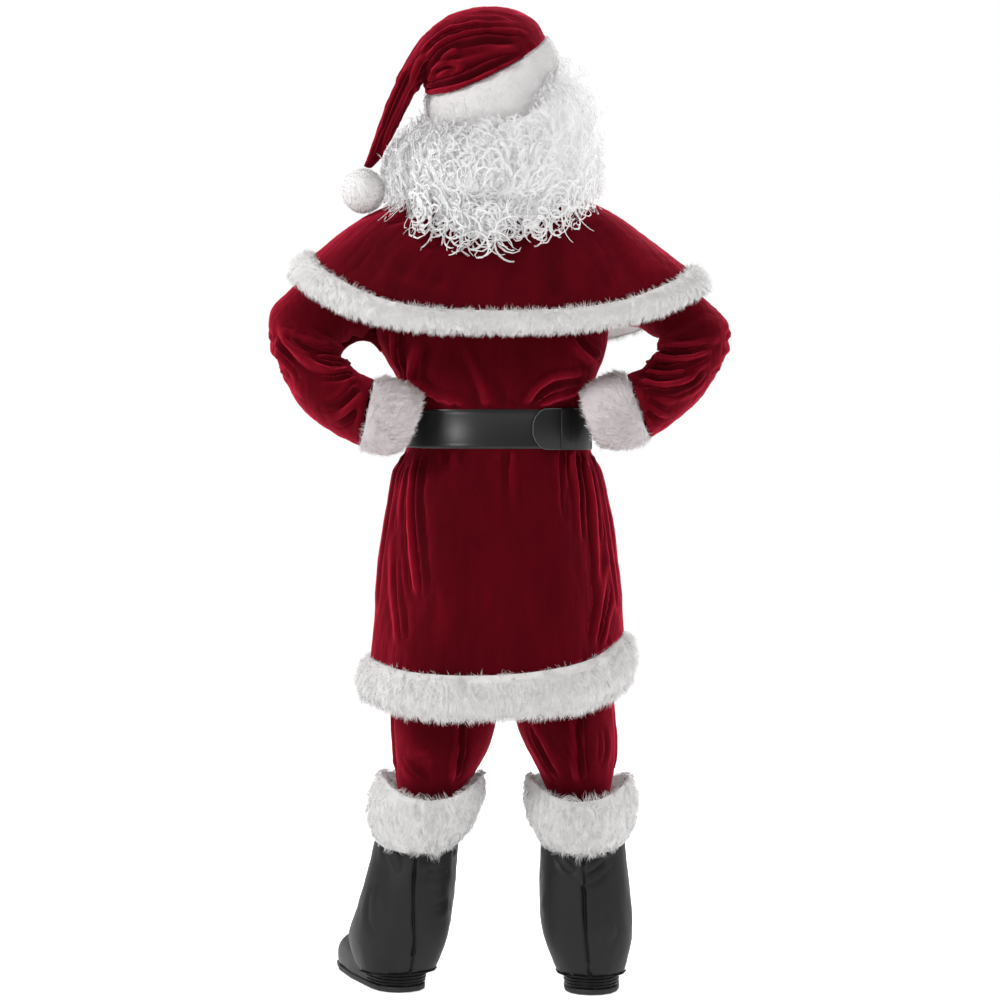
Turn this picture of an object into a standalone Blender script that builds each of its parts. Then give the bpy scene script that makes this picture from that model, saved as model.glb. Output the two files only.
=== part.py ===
"""Worn santa costume: drooping hat on a curly wig, fur-edged cape, belted coat, trousers, boots.

Metres, +Z up, +X to the wearer's right, +Y to the wearer's front. Every height in the tables is
above the floor. All pieces hang from one empty, which brings the base of the neck, where the
wearer carries the costume, to the origin. Cloth pieces are walls between an outer surface and
its inner offset, and neighbours share the normals along their seam, so that they stay parted.
"""
import math

import bmesh
import bpy
import numpy as np

NECK_HEIGHT = 1.460         # base of the wearer's neck above the floor
VELVET = 0.0020             # wall of the velvet cloth
LEATHERETTE = 0.0022        # wall of the boots' leatherette
CAP_NET = 0.0018            # wall of the wig's cap
SEAM = 0.0003               # gap between sewn neighbours
PULL = 0.62                 # share of the gap that each neighbour's rim draws back
ROUND = 36                  # columns around the body
HALF = ROUND // 2           # columns of the back, and of both fronts together
SLEEVE_ROUND = 16
LEG_HALF = 9                # columns of one trouser panel
BOOT_ROUND = 16

# ------------------------------------------------------------------ colours of the materials
MATERIALS = {
    # name: (red, green, blue, roughness, metallic)
    "velvet": (0.120, 0.004, 0.010, 0.75, 0.0),
    "fur": (0.76, 0.75, 0.74, 0.90, 0.0),
    "hair": (0.74, 0.75, 0.76, 0.45, 0.0),
    "belt_leatherette": (0.022, 0.024, 0.025, 0.38, 0.0),
    "boot_leatherette": (0.028, 0.028, 0.029, 0.48, 0.0),
    "sole_rubber": (0.012, 0.012, 0.012, 0.65, 0.0),
}

# ------------------------------------------------------------------ coat
BODY_POWER = 2.4            # 2 is an ellipse, more is squarer
BELT_BOTTOM = 1.001
BELT_ROW = 9                # row of the coat's sections under the belt
BELT_TOP = 1.073
COAT_SECTIONS = (
    ("height", "left", "right", "back", "front"),
    (0.600, 0.234, 0.232, 0.170, 0.174),
    (0.660, 0.229, 0.230, 0.166, 0.170),
    (0.720, 0.2235, 0.2240, 0.160, 0.164),
    (0.790, 0.2190, 0.2155, 0.152, 0.157),
    (0.865, 0.2080, 0.2080, 0.142, 0.148),
    (0.935, 0.1980, 0.1930, 0.131, 0.138),
    (0.970, 0.1900, 0.1850, 0.121, 0.131),
    (0.9965, 0.1650, 0.1670, 0.1070, 0.1210),
    (1.0775, 0.1650, 0.1670, 0.1070, 0.1210),
    (1.092, 0.1740, 0.1720, 0.1190, 0.1310),
    (1.122, 0.1810, 0.1750, 0.1250, 0.1350),
    (1.150, 0.1970, 0.1880, 0.1260, 0.1360),
    (1.180, 0.2150, 0.2010, 0.1270, 0.1360),
)
YOKE_SECTIONS = (           # from the underarm to the row below the shoulder seam
    ("height", "tilt", "left", "right", "armhole", "back", "front", "rise"),
    (1.214, 0.011, 0.234, 0.2050, 0.000, 0.128, 0.136, 0.000),
    (1.236, 0.009, 0.220, 0.2020, 0.036, 0.129, 0.136, 0.002),
    (1.263, 0.006, 0.208, 0.1990, 0.052, 0.129, 0.134, 0.005),
    (1.295, 0.003, 0.200, 0.1960, 0.060, 0.127, 0.130, 0.010),
    (1.328, 0.000, 0.196, 0.1945, 0.061, 0.122, 0.124, 0.014),
    (1.361, 0.000, 0.194, 0.1935, 0.056, 0.113, 0.115, 0.018),
    (1.391, 0.000, 0.193, 0.1930, 0.045, 0.099, 0.102, 0.020),
    (1.417, 0.000, 0.194, 0.1935, 0.027, 0.078, 0.084, 0.020),
)
SHOULDER_TIP = (0.195, 1.4423)       # half width and height of the shoulder seam's outer end
NECK_POINT_HEIGHT = 1.4672
NECK_COLUMN = 7                     # column where the shoulder seam meets the neckline
NECK_DEPTH = {"back": 0.066, "front": 0.074}
NECK_DROP = {"back": 0.007, "front": 0.026}

HEM_HEIGHTS = (             # seam between velvet and fur, by angle from the right side
    ("angle", "height"),
    (0, 0.667), (25, 0.645), (55, 0.622), (90, 0.608), (135, 0.612), (180, 0.624),
    (215, 0.6075), (240, 0.600), (270, 0.599), (295, 0.612), (318, 0.627), (340, 0.651),
)
HEM_FUR_SIZE = (            # free edge of the hem fur
    ("angle", "height", "out"),
    (0, 0.575, 0.008), (45, 0.530, 0.006), (90, 0.512, 0.006), (135, 0.520, 0.006), (180, 0.545, 0.010),
    (215, 0.528, 0.008), (240, 0.517, 0.006), (270, 0.518, 0.004), (300, 0.526, 0.006), (330, 0.545, 0.008),
)
HEM_FUR_PUFF = (0.022, 0.006)       # how far the pile stands outward and inward
SKIRT_FOLDS = (
    ("angle", "spread", "relief", "top", "bottom"),
    (210, 10, -0.007, 0.96, 0.56), (229, 11, -0.008, 0.93, 0.66), (246, 12, 0.005, 0.98, 0.70),
    (273, 9, -0.007, 0.99, 0.74), (292, 12, 0.005, 0.96, 0.56), (316, 10, -0.008, 0.99, 0.56),
    (333, 9, -0.007, 0.90, 0.56), (356, 10, 0.001, 0.94, 0.56), (18, 10, -0.007, 0.96, 0.56),
    (44, 11, 0.006, 0.98, 0.66), (68, 10, -0.008, 0.96, 0.56), (96, 12, 0.004, 0.90, 0.56),
    (118, 10, -0.008, 0.98, 0.56), (146, 11, 0.006, 0.94, 0.56), (170, 10, -0.006, 0.97, 0.56),
    (190, 10, 0.005, 0.90, 0.56),
)
BODICE_FOLDS = (
    ("angle", "spread", "relief", "top", "bottom"),
    (205, 11, 0.005, 1.16, 1.078), (228, 10, -0.006, 1.20, 1.078), (250, 10, 0.005, 1.18, 1.078),
    (272, 9, -0.005, 1.22, 1.078), (293, 11, 0.006, 1.15, 1.078), (318, 11, -0.007, 1.19, 1.078),
    (340, 10, 0.005, 1.14, 1.078), (25, 12, -0.006, 1.18, 1.078), (55, 11, 0.006, 1.16, 1.078),
    (85, 11, -0.005, 1.20, 1.078), (120, 12, 0.006, 1.15, 1.078), (150, 11, -0.006, 1.18, 1.078),
)

# ------------------------------------------------------------------ sleeves and cuffs
SLEEVE_LEFT = (             # outer and inner ends of each ring, its middle along Y and half depth
    ("outer_x", "outer_z", "inner_x", "inner_z", "middle", "depth"),
    (-0.252, 1.398, -0.2490, 1.1930, -0.010, 0.080),
    (-0.325, 1.350, -0.262, 1.206, -0.020, 0.078),
    (-0.381, 1.297, -0.272, 1.202, -0.026, 0.073),
    (-0.414, 1.266, -0.2800, 1.194, -0.036, 0.072),
    (-0.422, 1.234, -0.2845, 1.183, -0.050, 0.072),
    (-0.415, 1.190, -0.2845, 1.171, -0.057, 0.070),
    (-0.395, 1.140, -0.277, 1.161, -0.064, 0.067),
    (-0.361, 1.078, -0.265, 1.151, -0.072, 0.065),
    (-0.312, 1.034, -0.247, 1.1400, -0.080, 0.063),
    (-0.2515, 1.005, -0.2250, 1.1285, -0.086, 0.060),
)
SLEEVE_RIGHT = (
    ("outer_x", "outer_z", "inner_x", "inner_z", "middle", "depth"),
    (0.248, 1.404, 0.2330, 1.226, -0.010, 0.080),
    (0.308, 1.350, 0.262, 1.223, -0.016, 0.076),
    (0.354, 1.301, 0.279, 1.214, -0.022, 0.072),
    (0.394, 1.266, 0.289, 1.204, -0.030, 0.070),
    (0.420, 1.238, 0.294, 1.193, -0.050, 0.072),
    (0.425, 1.200, 0.291, 1.181, -0.057, 0.070),
    (0.408, 1.152, 0.281, 1.169, -0.064, 0.067),
    (0.373, 1.099, 0.270, 1.157, -0.072, 0.065),
    (0.332, 1.055, 0.256, 1.147, -0.080, 0.063),
    (0.2775, 1.019, 0.2340, 1.1385, -0.086, 0.060),
)
SLEEVE_RINGS = 15
SLEEVE_PULL = 0.95          # the sleeves' rims draw back more, because the armholes bend sharply
SLEEVE_FOLDS = (            # place along the sleeve 0 to 1, side it is deepest on (0 inner), relief
    ("place", "spread", "side", "relief"),
    (0.30, 0.045, 20, 0.006), (0.40, 0.040, 0, -0.005), (0.48, 0.040, 10, 0.006),
    (0.58, 0.040, -15, -0.006), (0.67, 0.040, 10, 0.006), (0.78, 0.045, 120, 0.005),
    (0.88, 0.040, -60, -0.004),
)
CUFF_LEFT_END = {"top": (-0.137, 1.090), "bottom": (-0.171, 1.003), "middle": -0.116, "depth": 0.040,
                 "skew": -0.014}
CUFF_RIGHT_END = {"top": (0.153, 1.096), "bottom": (0.180, 1.010), "middle": -0.114, "depth": 0.040,
                  "skew": 0.014}
CUFF_PUFF = (0.019, 0.003)

# ------------------------------------------------------------------ cape
CAPE_POWER = 2.9
CAPE_SECTIONS = (
    ("left", "right", "back", "front", "left_z", "right_z", "back_z", "front_z"),
    (0.082, 0.082, 0.080, 0.082, 1.481, 1.481, 1.477, 1.470),
    (0.125, 0.122, 0.104, 0.108, 1.472, 1.472, 1.455, 1.445),
    (0.180, 0.172, 0.128, 0.132, 1.459, 1.457, 1.420, 1.407),
    (0.230, 0.220, 0.149, 0.151, 1.441, 1.434, 1.376, 1.363),
    (0.270, 0.266, 0.166, 0.166, 1.417, 1.400, 1.332, 1.319),
    (0.306, 0.310, 0.179, 0.178, 1.390, 1.368, 1.290, 1.278),
    (0.338, 0.349, 0.190, 0.188, 1.363, 1.338, 1.250, 1.240),
)
CAPE_SWEEP = 1.6            # how the hem's height runs from the sides to the back and front
CAPE_FRONT_GAP = 4          # degrees between the middle of the front and each front edge
CAPE_FUR_EDGE = {"left": 0.382, "right": 0.388, "back": 0.200, "front": 0.198,
                 "left_z": 1.318, "right_z": 1.296, "back_z": 1.203, "front_z": 1.192}
CAPE_FUR_PUFF = (0.017, 0.003)
CAPE_FOLDS = (
    ("angle", "spread", "relief", "start"),
    (205, 10, 0.003, 0.4), (228, 11, -0.004, 0.3), (252, 12, 0.003, 0.4), (276, 10, -0.005, 0.3),
    (296, 10, 0.005, 0.3), (315, 9, -0.006, 0.2), (333, 9, 0.005, 0.3), (350, 9, -0.003, 0.5),
    (20, 11, 0.004, 0.3), (45, 11, -0.005, 0.3), (70, 10, 0.004, 0.4), (115, 11, 0.004, 0.4),
    (140, 11, -0.005, 0.3), (162, 10, 0.003, 0.5),
)

# ------------------------------------------------------------------ belt
BELT_THICKNESS = 0.0030
BELT_RIDGE = 0.0012         # how far the two stitched ridges stand up
BELT_CLEAR = 0.0004
BELT_PROFILE = (            # share of the height, share of the ridge
    ("up", "ridge"),
    (0.00, 0.0), (0.07, 1.0), (0.15, 0.0), (0.85, 0.0), (0.93, 1.0), (1.00, 0.0),
)
BELT_END_COLUMNS = (28.7, 35.0)     # where the strap's upper end starts and stops, in columns
BELT_END_ROUND = 1.0                # length of its rounded tip, in columns
BELT_END_THICKNESS = 0.0024
BELT_END_HEIGHT = 0.074
KEEPER_COLUMNS = (30.7, 31.9)
KEEPER_THICKNESS = 0.0016

# ------------------------------------------------------------------ trousers
TROUSER_TOP = 1.046
TROUSER_CLEAR = 0.0005      # between the trousers' top and the coat round it
TROUSER_HIPS = (            # hips and crotch: half width, leg axis, depths
    ("height", "axis", "outer", "back", "front"),
    (0.992, 0.000, 0.1622, 0.1038, 0.1178),
    (0.955, 0.010, 0.172, 0.116, 0.124),
    (0.900, 0.030, 0.182, 0.120, 0.126),
    (0.850, 0.060, 0.187, 0.118, 0.122),
    (0.810, 0.082, 0.189, 0.112, 0.115),
)
LEG_LEFT = (                # signed towards +X
    ("height", "outer", "inner", "middle", "depth"),
    (0.770, -0.191, -0.004, 0.000, 0.106),
    (0.640, -0.195, -0.002, -0.003, 0.098),
    (0.520, -0.1995, 0.000, -0.006, 0.094),
    (0.470, -0.197, -0.007, -0.008, 0.092),
    (0.425, -0.191, -0.028, -0.010, 0.082),
    (0.385, -0.187, -0.055, -0.010, 0.070),
    (0.345, -0.182, -0.074, -0.008, 0.060),
    (0.300, -0.180, -0.086, -0.006, 0.052),
)
LEG_RIGHT = (
    ("height", "outer", "inner", "middle", "depth"),
    (0.770, 0.191, 0.004, 0.000, 0.106),
    (0.640, 0.205, 0.017, -0.003, 0.098),
    (0.520, 0.217, 0.025, -0.006, 0.094),
    (0.470, 0.220, 0.040, -0.008, 0.092),
    (0.425, 0.218, 0.066, -0.010, 0.082),
    (0.385, 0.210, 0.086, -0.010, 0.070),
    (0.345, 0.204, 0.098, -0.008, 0.060),
    (0.300, 0.200, 0.106, -0.006, 0.052),
)

# ------------------------------------------------------------------ boots
BOOT_SHAFT = (              # in the boot's own frame, toe along +Y
    ("height", "width", "back", "front"),
    (0.040, 0.060, 0.071, 0.166),
    (0.070, 0.071, 0.078, 0.164),
    (0.105, 0.081, 0.083, 0.142),
    (0.150, 0.086, 0.086, 0.108),
    (0.205, 0.085, 0.085, 0.091),
    (0.255, 0.081, 0.081, 0.083),
    (0.302, 0.079, 0.079, 0.080),
)
SHAFT_HEM_LIFT = 0.058      # how much higher the shaft's hem is over the instep than at the heel
BOOT_AXES = {               # X of the shaft's centre and its turn by height, Y of the ankle, the foot's turn
    "left": {"heights": (0.03, 0.10, 0.15, 0.22, 0.31), "x": (-0.190, -0.181, -0.172, -0.159, -0.146),
             "turn": (25.0, 21.0, 12.0, 4.0, 2.0), "swell": (0.014, 0.012, 0.004, 0.0, 0.0),
             "y": 0.010, "foot_turn": 27.0},
    "right": {"heights": (0.03, 0.10, 0.15, 0.22, 0.31), "x": (0.1725, 0.166, 0.162, 0.158, 0.1555),
              "turn": (-4.0, -4.0, -3.0, -2.0, -1.0), "swell": (0.004, 0.005, 0.002, 0.0, 0.0),
              "y": -0.010, "foot_turn": -4.0},
}
BOOT_FOOT = (
    ("height", "width", "back", "front"),
    (0.0163, 0.050, 0.0645, 0.240),
    (0.036, 0.0525, 0.0682, 0.250),
    (0.062, 0.051, 0.0677, 0.232),
    (0.088, 0.047, 0.060, 0.166),
    (0.124, 0.044, 0.054, 0.084),
)
FLOOR = 0.006               # underside of the soles
SOLE_TOP = 0.016
BOOT_FUR_EDGE = {           # upper free edge of each fur cuff
    "left": {"x": -0.1210, "y": -0.008, "width": 0.0895, "depth": 0.089, "side_z": 0.412, "back_z": 0.372,
             "front_z": 0.392},
    "right": {"x": 0.1500, "y": -0.012, "width": 0.088, "depth": 0.088, "side_z": 0.408, "back_z": 0.370,
              "front_z": 0.390},
}
BOOT_TOP_DIP = 0.030        # how much lower the shaft's top is at the back than at the sides
BOOT_FUR_PUFF = {"left": (0.030, 0.0138), "right": (0.030, 0.0169)}

# ------------------------------------------------------------------ hat
HAT_CROWN = (               # far and near ends of each ring, its middle along Y, half depth, back's drop
    ("outer_x", "outer_z", "inner_x", "inner_z", "middle", "depth", "drop"),
    (0.0907, 1.7650, -0.1370, 1.6595, 0.000, 0.1090, 0.040),
    (0.0800, 1.7890, -0.1400, 1.6690, 0.000, 0.1085, 0.037),
    (0.0520, 1.8100, -0.1420, 1.6775, -0.002, 0.1040, 0.032),
    (0.0100, 1.8220, -0.1425, 1.6850, -0.006, 0.0970, 0.025),
    (-0.0350, 1.8200, -0.1415, 1.6905, -0.012, 0.0870, 0.017),
    (-0.0760, 1.8090, -0.1395, 1.6925, -0.018, 0.0740, 0.010),
    (-0.1100, 1.7900, -0.1375, 1.6890, -0.024, 0.0610, 0.005),
    (-0.1380, 1.7610, -0.1370, 1.6810, -0.030, 0.0490, 0.002),
    (-0.1600, 1.7240, -0.1430, 1.6660, -0.035, 0.0390, 0.000),
    (-0.1790, 1.6910, -0.1530, 1.6520, -0.039, 0.0310, 0.000),
    (-0.2000, 1.6500, -0.1640, 1.6300, -0.042, 0.0250, 0.000),
    (-0.2145, 1.6110, -0.1750, 1.6050, -0.045, 0.0210, 0.000),
    (-0.2270, 1.5730, -0.1930, 1.5700, -0.047, 0.0170, 0.000),
    (-0.2370, 1.5400, -0.2110, 1.5420, -0.049, 0.0130, 0.000),
    (-0.2460, 1.5190, -0.2260, 1.5190, -0.050, 0.0095, 0.000),
)
HAT_ROUND = 14
HAT_TILT = 25.0             # degrees, the right side is up
HAT_BAND_EDGE = {"centre": (0.0018, 1.662), "width": 0.1175, "depth": 0.1090, "drop": 0.052}
HAT_BAND_PUFF = (0.0130, 0.0042)
POMPOM_RADIUS = 0.042
POMPOM_CENTRE = (-0.2465, -0.050, 1.4732)
TAIL_CLEAR = -0.0003         # between the tail's tip and the pompom

# ------------------------------------------------------------------ wig
HEAD_CENTRE = (0.000, -0.002, 1.628)
CAP_RADII = (0.098, 0.101, 0.116)
CAP_ROUND = 18
CAP_HEIGHTS = (1.540, 1.572, 1.604, 1.636, 1.668, 1.700, 1.724)
CAP_FACE_ROWS = 4           # rows left open in front of the face
CAP_FACE_HALF = 70          # degrees each side of the front left open
HAIR_WALL = 0.011           # depth of the layer of curls that hangs from under the hat
HAIR_ROUND = 26
HAIR_SPAN = (-32, 212)      # from in front of the right cheek to the left one, seen from behind
HAIR_SECTIONS = (           # the layer of curls: half widths, depth behind, and how each ring leans
    ("height", "left", "right", "back", "tilt", "pitch", "curl"),
    (1.640, 0.1030, 0.1030, 0.1052, 0.049, 0.050, 0.000),
    (1.622, 0.1420, 0.1460, 0.1320, 0.044, 0.044, 0.003),
    (1.594, 0.1740, 0.1740, 0.1500, 0.032, 0.030, 0.006),
    (1.556, 0.1920, 0.1830, 0.1650, 0.018, 0.018, 0.007),
    (1.516, 0.1980, 0.1820, 0.1750, 0.006, 0.014, 0.007),
    (1.480, 0.1950, 0.1780, 0.1790, -0.004, 0.022, 0.006),
)
LOCK_SIDE = 0.0085          # width of a lock at its root
LOCK_STEPS = 5
FRINGE = {                  # the locks that hang from under the layer's edge
    "reach": 0.004, "tip_side": 0.194, "tip_back": 0.200, "side_z": 1.4652, "back_z": 1.372,
    "wave": 0.007,
}
FRINGE_STRIP = 0.012        # height of the strip that the locks grow from


# ------------------------------------------------------------------ tables and curves
def column(table, name):
    """One named column of a table whose first row holds the names."""
    place = table[0].index(name)
    return np.array([row[place] for row in table[1:]], dtype=float)


def smooth(knots, values, places):
    """Reads a smooth curve through values at knots, at the places asked for."""
    knots = np.asarray(knots, dtype=float)
    values = np.asarray(values, dtype=float)
    places = np.asarray(places, dtype=float)
    slopes = np.gradient(values, knots)
    before = np.clip(np.searchsorted(knots, places, side="right") - 1, 0, len(knots) - 2)
    span = knots[before + 1] - knots[before]
    t = (places - knots[before]) / span
    rise = (3 - 2 * t) * t * t
    pull_start = t * (1 - t) ** 2 * span * slopes[before]
    pull_end = t * t * (t - 1) * span * slopes[before + 1]
    return values[before] * (1 - rise) + values[before + 1] * rise + pull_start + pull_end


def resample(table, count):
    """Every column of a table, read at count even places along its rows."""
    rows = np.arange(len(table) - 1)
    places = np.linspace(0, len(rows) - 1, count)
    return {name: smooth(rows, column(table, name), places) for name in table[0]}


def around_value(table, name, angles):
    """A column given by angle, read smoothly all the way round, in degrees."""
    knots = column(table, "angle")
    values = column(table, name)
    knots = np.concatenate([knots - 360, knots, knots + 360])
    return smooth(knots, np.tile(values, 3), np.asarray(angles, dtype=float) % 360)


def powered(value, power):
    """A cosine or sine bent for a squarer round."""
    return np.sign(value) * np.abs(value) ** (2 / power)


def section(angles, left, right, back, front, power):
    """X and Y of a body section seen from above, angle 0 at +X and 90 at the front."""
    turn = np.radians(angles)
    across = powered(np.cos(turn), power)
    along = powered(np.sin(turn), power)
    x = np.where(across > 0, right, left) * across
    y = np.where(along > 0, front, back) * along
    return x, y


def unit(vectors):
    """Vectors scaled to a length of one."""
    length = np.linalg.norm(vectors, axis=-1, keepdims=True)
    return vectors / np.maximum(length, 1e-12)


def fold_relief(folds, angles, height):
    """Outward relief of the vertical folds at one height, all round."""
    total = np.zeros(len(angles))
    for angle, spread, relief, top, bottom in folds[1:]:
        away = (np.asarray(angles) - angle + 180) % 360 - 180
        fade = np.clip((top - height) / 0.05, 0, 1) * np.clip((height - bottom) / 0.014, 0, 1)
        total += relief * fade * np.exp(-(away / spread) ** 2)
    return total


# ------------------------------------------------------------------ shells and solids
class Shell:
    """A cloth surface as a grid of outer points, with unit normals that point outward."""

    def __init__(self, outer, wall, wrap=False):
        self.outer = np.array(outer, dtype=float)
        self.wall = wall
        self.wrap = wrap
        if wrap:
            along = np.roll(self.outer, -1, axis=1) - np.roll(self.outer, 1, axis=1)
        else:
            along = np.gradient(self.outer, axis=1)
        up = np.gradient(self.outer, axis=0)
        normals = unit(np.cross(along, up))
        centres = self.outer.mean(axis=1, keepdims=True)
        if np.sum(normals * (self.outer - centres)) < 0:
            normals = -normals
        for row in range(len(normals)):
            if self.is_pole(row):
                inward = row - 1 if row else row + 1
                normals[row] = unit(normals[inward].mean(axis=0))
        self.normals = normals

    def is_pole(self, row):
        """Whether a row has shrunk to one point."""
        return np.ptp(self.outer[row], axis=0).max() < 1e-6

    def inner(self):
        """The grid one wall inside the outer one."""
        return self.outer - self.normals * self.wall


def share_seams(shells):
    """Gives points that two shells have in common the mean of their normals."""
    shared = {}
    for shell in shells:
        for index in np.ndindex(shell.outer.shape[:2]):
            key = tuple(np.round(shell.outer[index], 6))
            shared.setdefault(key, []).append((shell, index))
    for users in shared.values():
        mean = unit(sum(shell.normals[index] for shell, index in users))
        for shell, index in users:
            shell.normals[index] = mean


def make_material(name):
    """A plain Principled material in a named colour."""
    red, green, blue, roughness, metallic = MATERIALS[name]
    material = bpy.data.materials.get(name) or bpy.data.materials.new(name)
    material.use_nodes = True
    shader = material.node_tree.nodes["Principled BSDF"]
    shader.inputs["Base Color"].default_value = (red, green, blue, 1.0)
    shader.inputs["Roughness"].default_value = roughness
    shader.inputs["Metallic"].default_value = metallic
    return material


def finish_object(name, bm, material, sharp=50):
    """Turns a closed bmesh into a named object that hangs from the neck's empty."""
    bmesh.ops.recalc_face_normals(bm, faces=bm.faces)
    if bm.calc_volume(signed=True) < 0:
        bmesh.ops.reverse_faces(bm, faces=bm.faces)
    mesh = bpy.data.meshes.new(name)
    bm.to_mesh(mesh)
    bm.free()
    mesh.materials.append(make_material(material))
    mesh.shade_smooth()
    mesh.set_sharp_from_angle(angle=math.radians(sharp))
    made = bpy.data.objects.new(name, mesh)
    bpy.context.scene.collection.objects.link(made)
    made.parent = bpy.data.objects["neck"]
    return made


def halve(cell, shell):
    """A cell's triangles, cut along the diagonal that stands out further, alike on both faces."""
    if len(cell) == 3:
        return [cell]
    first, second, third, fourth = (shell.outer[corner] for corner in cell)
    out = sum(shell.normals[corner] for corner in cell)
    if np.dot(first + third - second - fourth, out) >= 0:
        return [cell[:3], [cell[0], cell[2], cell[3]]]
    return [cell[1:], [cell[0], cell[1], cell[3]]]


def panel(name, shell, material, keep=None, draw=PULL):
    """Closes some cells of a shell into one solid: outer face, inner face and rims."""
    rows, columns = shell.outer.shape[:2]
    spans = columns if shell.wrap else columns - 1
    poles = {row for row in range(rows) if shell.is_pole(row)}
    cells = []
    for i in range(rows - 1):
        for j in range(spans):
            if keep is None or keep(i, j):
                corners = [(i, j), (i, (j + 1) % columns), (i + 1, (j + 1) % columns), (i + 1, j)]
                corners = [(row, 0 if row in poles else place) for row, place in corners]
                cells.append(list(dict.fromkeys(corners)))
    uses = {}
    pull = {}
    for cell in cells:
        centre = np.mean([shell.outer[corner] for corner in cell], axis=0)
        for start, end in zip(cell, cell[1:] + cell[:1]):
            uses.setdefault(frozenset((start, end)), []).append((start, end))
            pull.setdefault(start, []).append(unit(centre - shell.outer[start]))
    edges = [found[0] for found in uses.values() if len(found) == 1]
    rim = {}
    for start, end in edges:
        way = unit(shell.outer[end] - shell.outer[start])
        rim[start] = rim.get(start, 0) + way
        rim[end] = rim.get(end, 0) + way
    inner = shell.inner()
    bm = bmesh.new()
    outside = {}
    inside = {}
    for corner in pull:
        shift = np.zeros(3)
        if corner in rim:
            along = unit(rim[corner])
            shift = np.sum(pull[corner], axis=0)
            shift = unit(shift - along * np.dot(shift, along)) * SEAM * draw
        outside[corner] = bm.verts.new(shell.outer[corner] + shift)
        inside[corner] = bm.verts.new(inner[corner] + shift)
    for cell in cells:
        for corners in halve(cell, shell):
            bm.faces.new([outside[corner] for corner in corners])
            bm.faces.new([inside[corner] for corner in reversed(corners)])
    for start, end in edges:
        bm.faces.new([outside[end], outside[start], inside[start], inside[end]])
    return finish_object(name, bm, material)


def loft(name, loops, material, closed=True, sharp=50):
    """A solid through a row of equal closed loops, joined end to end or capped."""
    bm = bmesh.new()
    rings = [[bm.verts.new(point) for point in loop] for loop in loops]
    pairs = list(zip(rings, rings[1:] + rings[:1])) if closed else list(zip(rings, rings[1:]))
    for near, far in pairs:
        for k in range(len(near)):
            after = (k + 1) % len(near)
            bm.faces.new([near[k], near[after], far[after], far[k]])
    if not closed:
        bm.faces.new(rings[0][::-1])
        bm.faces.new(rings[-1])
    return finish_object(name, bm, material, sharp)


FUR_OUTSIDE = ((0.16, 0.72), (0.55, 1.00), (0.92, 0.62))    # share along the band, share of the puff
FUR_TIP = (1.00, 0.04)
FUR_INSIDE = ((0.60, 1.00),)


def fur_band(name, rim_outer, rim_inner, way, edge, puff, closed=True, outside=FUR_OUTSIDE):
    """A padded band of fur from the cut edge of a cloth to its own free edge."""
    puff_out, puff_in = puff
    count = len(edge)
    centre = edge.mean(axis=0)
    loops = []
    for k in range(count):
        top_outer = rim_outer[k] + way[k] * SEAM
        top_inner = rim_inner[k] + way[k] * SEAM
        start = (top_outer + top_inner) / 2
        run = edge[k] - start
        ahead = edge[(k + 1) % count] if closed or k < count - 1 else edge[k]
        behind = edge[k - 1] if closed or k else edge[k]
        out = unit(np.cross(ahead - behind, run))
        if np.dot(out, edge[k] - centre) < 0:
            out = -out
        lump = 1 + 0.10 * math.sin(2.3 * k) + 0.06 * math.sin(5.1 * k + 1)
        points = [top_outer]
        points += [start + run * along + out * puff_out * share * lump for along, share in outside]
        points.append(start + run * FUR_TIP[0] + out * puff_out * FUR_TIP[1])
        points += [start + run * along - out * puff_in * share for along, share in FUR_INSIDE]
        points.append(top_inner)
        loops.append(points)
    return loft(name, loops, "fur", closed=closed, sharp=70)


# ------------------------------------------------------------------ coat
def coat_lower_rings():
    """Rings of the coat from its hem seam to below the underarm."""
    angles = np.arange(ROUND) * 360 / ROUND
    hem = around_value(HEM_HEIGHTS, "height", angles)
    lowest = COAT_SECTIONS[1][0]
    rings = []
    for height, left, right, back, front in COAT_SECTIONS[1:]:
        x, y = section(angles, left, right, back, front, BODY_POWER)
        relief = fold_relief(SKIRT_FOLDS, angles, height) + fold_relief(BODICE_FOLDS, angles, height)
        turn = np.radians(angles)
        sway = np.clip((0.90 - height) / (0.90 - lowest), 0, 1) ** 1.5
        z = height + (hem - lowest) * sway
        rings.append(np.stack([x + relief * np.cos(turn), y + relief * np.sin(turn), z], axis=1))
    return rings


def coat_yoke_row(row, side):
    """One row of the upper back or front, from one armhole edge to the other."""
    height, tilt, left, right, armhole, back, front, rise = row
    start = 0 if side == "front" else 180
    angles = start + np.arange(HALF + 1) * 180 / HALF
    turn = np.radians(angles)
    depth = front if side == "front" else back
    sign = 1 if side == "front" else -1
    across = powered(np.cos(turn), BODY_POWER)
    x = np.where(across > 0, right, left) * across
    bow = np.abs(powered(np.sin(turn), BODY_POWER))
    y = sign * (armhole + (depth - armhole) * bow)
    z = height + tilt * across + rise * (1 - np.abs(across) ** 2)
    return np.stack([x, y, z], axis=1)


def coat_shoulder_row(side):
    """The shoulder seams and the neckline between them."""
    start = 0 if side == "front" else 180
    angles = start + np.arange(HALF + 1) * 180 / HALF
    sign = 1 if side == "front" else -1
    tip_x, tip_z = SHOULDER_TIP
    across = powered(np.cos(np.radians(angles)), BODY_POWER)
    x = tip_x * across
    neck_x = abs(x[NECK_COLUMN])
    down = np.clip((np.abs(x) - neck_x) / (tip_x - neck_x), 0, 1)
    z = NECK_POINT_HEIGHT + (tip_z - NECK_POINT_HEIGHT) * down
    scoop = np.where(np.abs(x) < neck_x - 1e-6, np.cos(np.clip(x / neck_x, -1, 1) * math.pi / 2) ** 0.6, 0)
    y = sign * NECK_DEPTH[side] * scoop
    z = z - NECK_DROP[side] * scoop
    return np.stack([x, y, z], axis=1)


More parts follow.
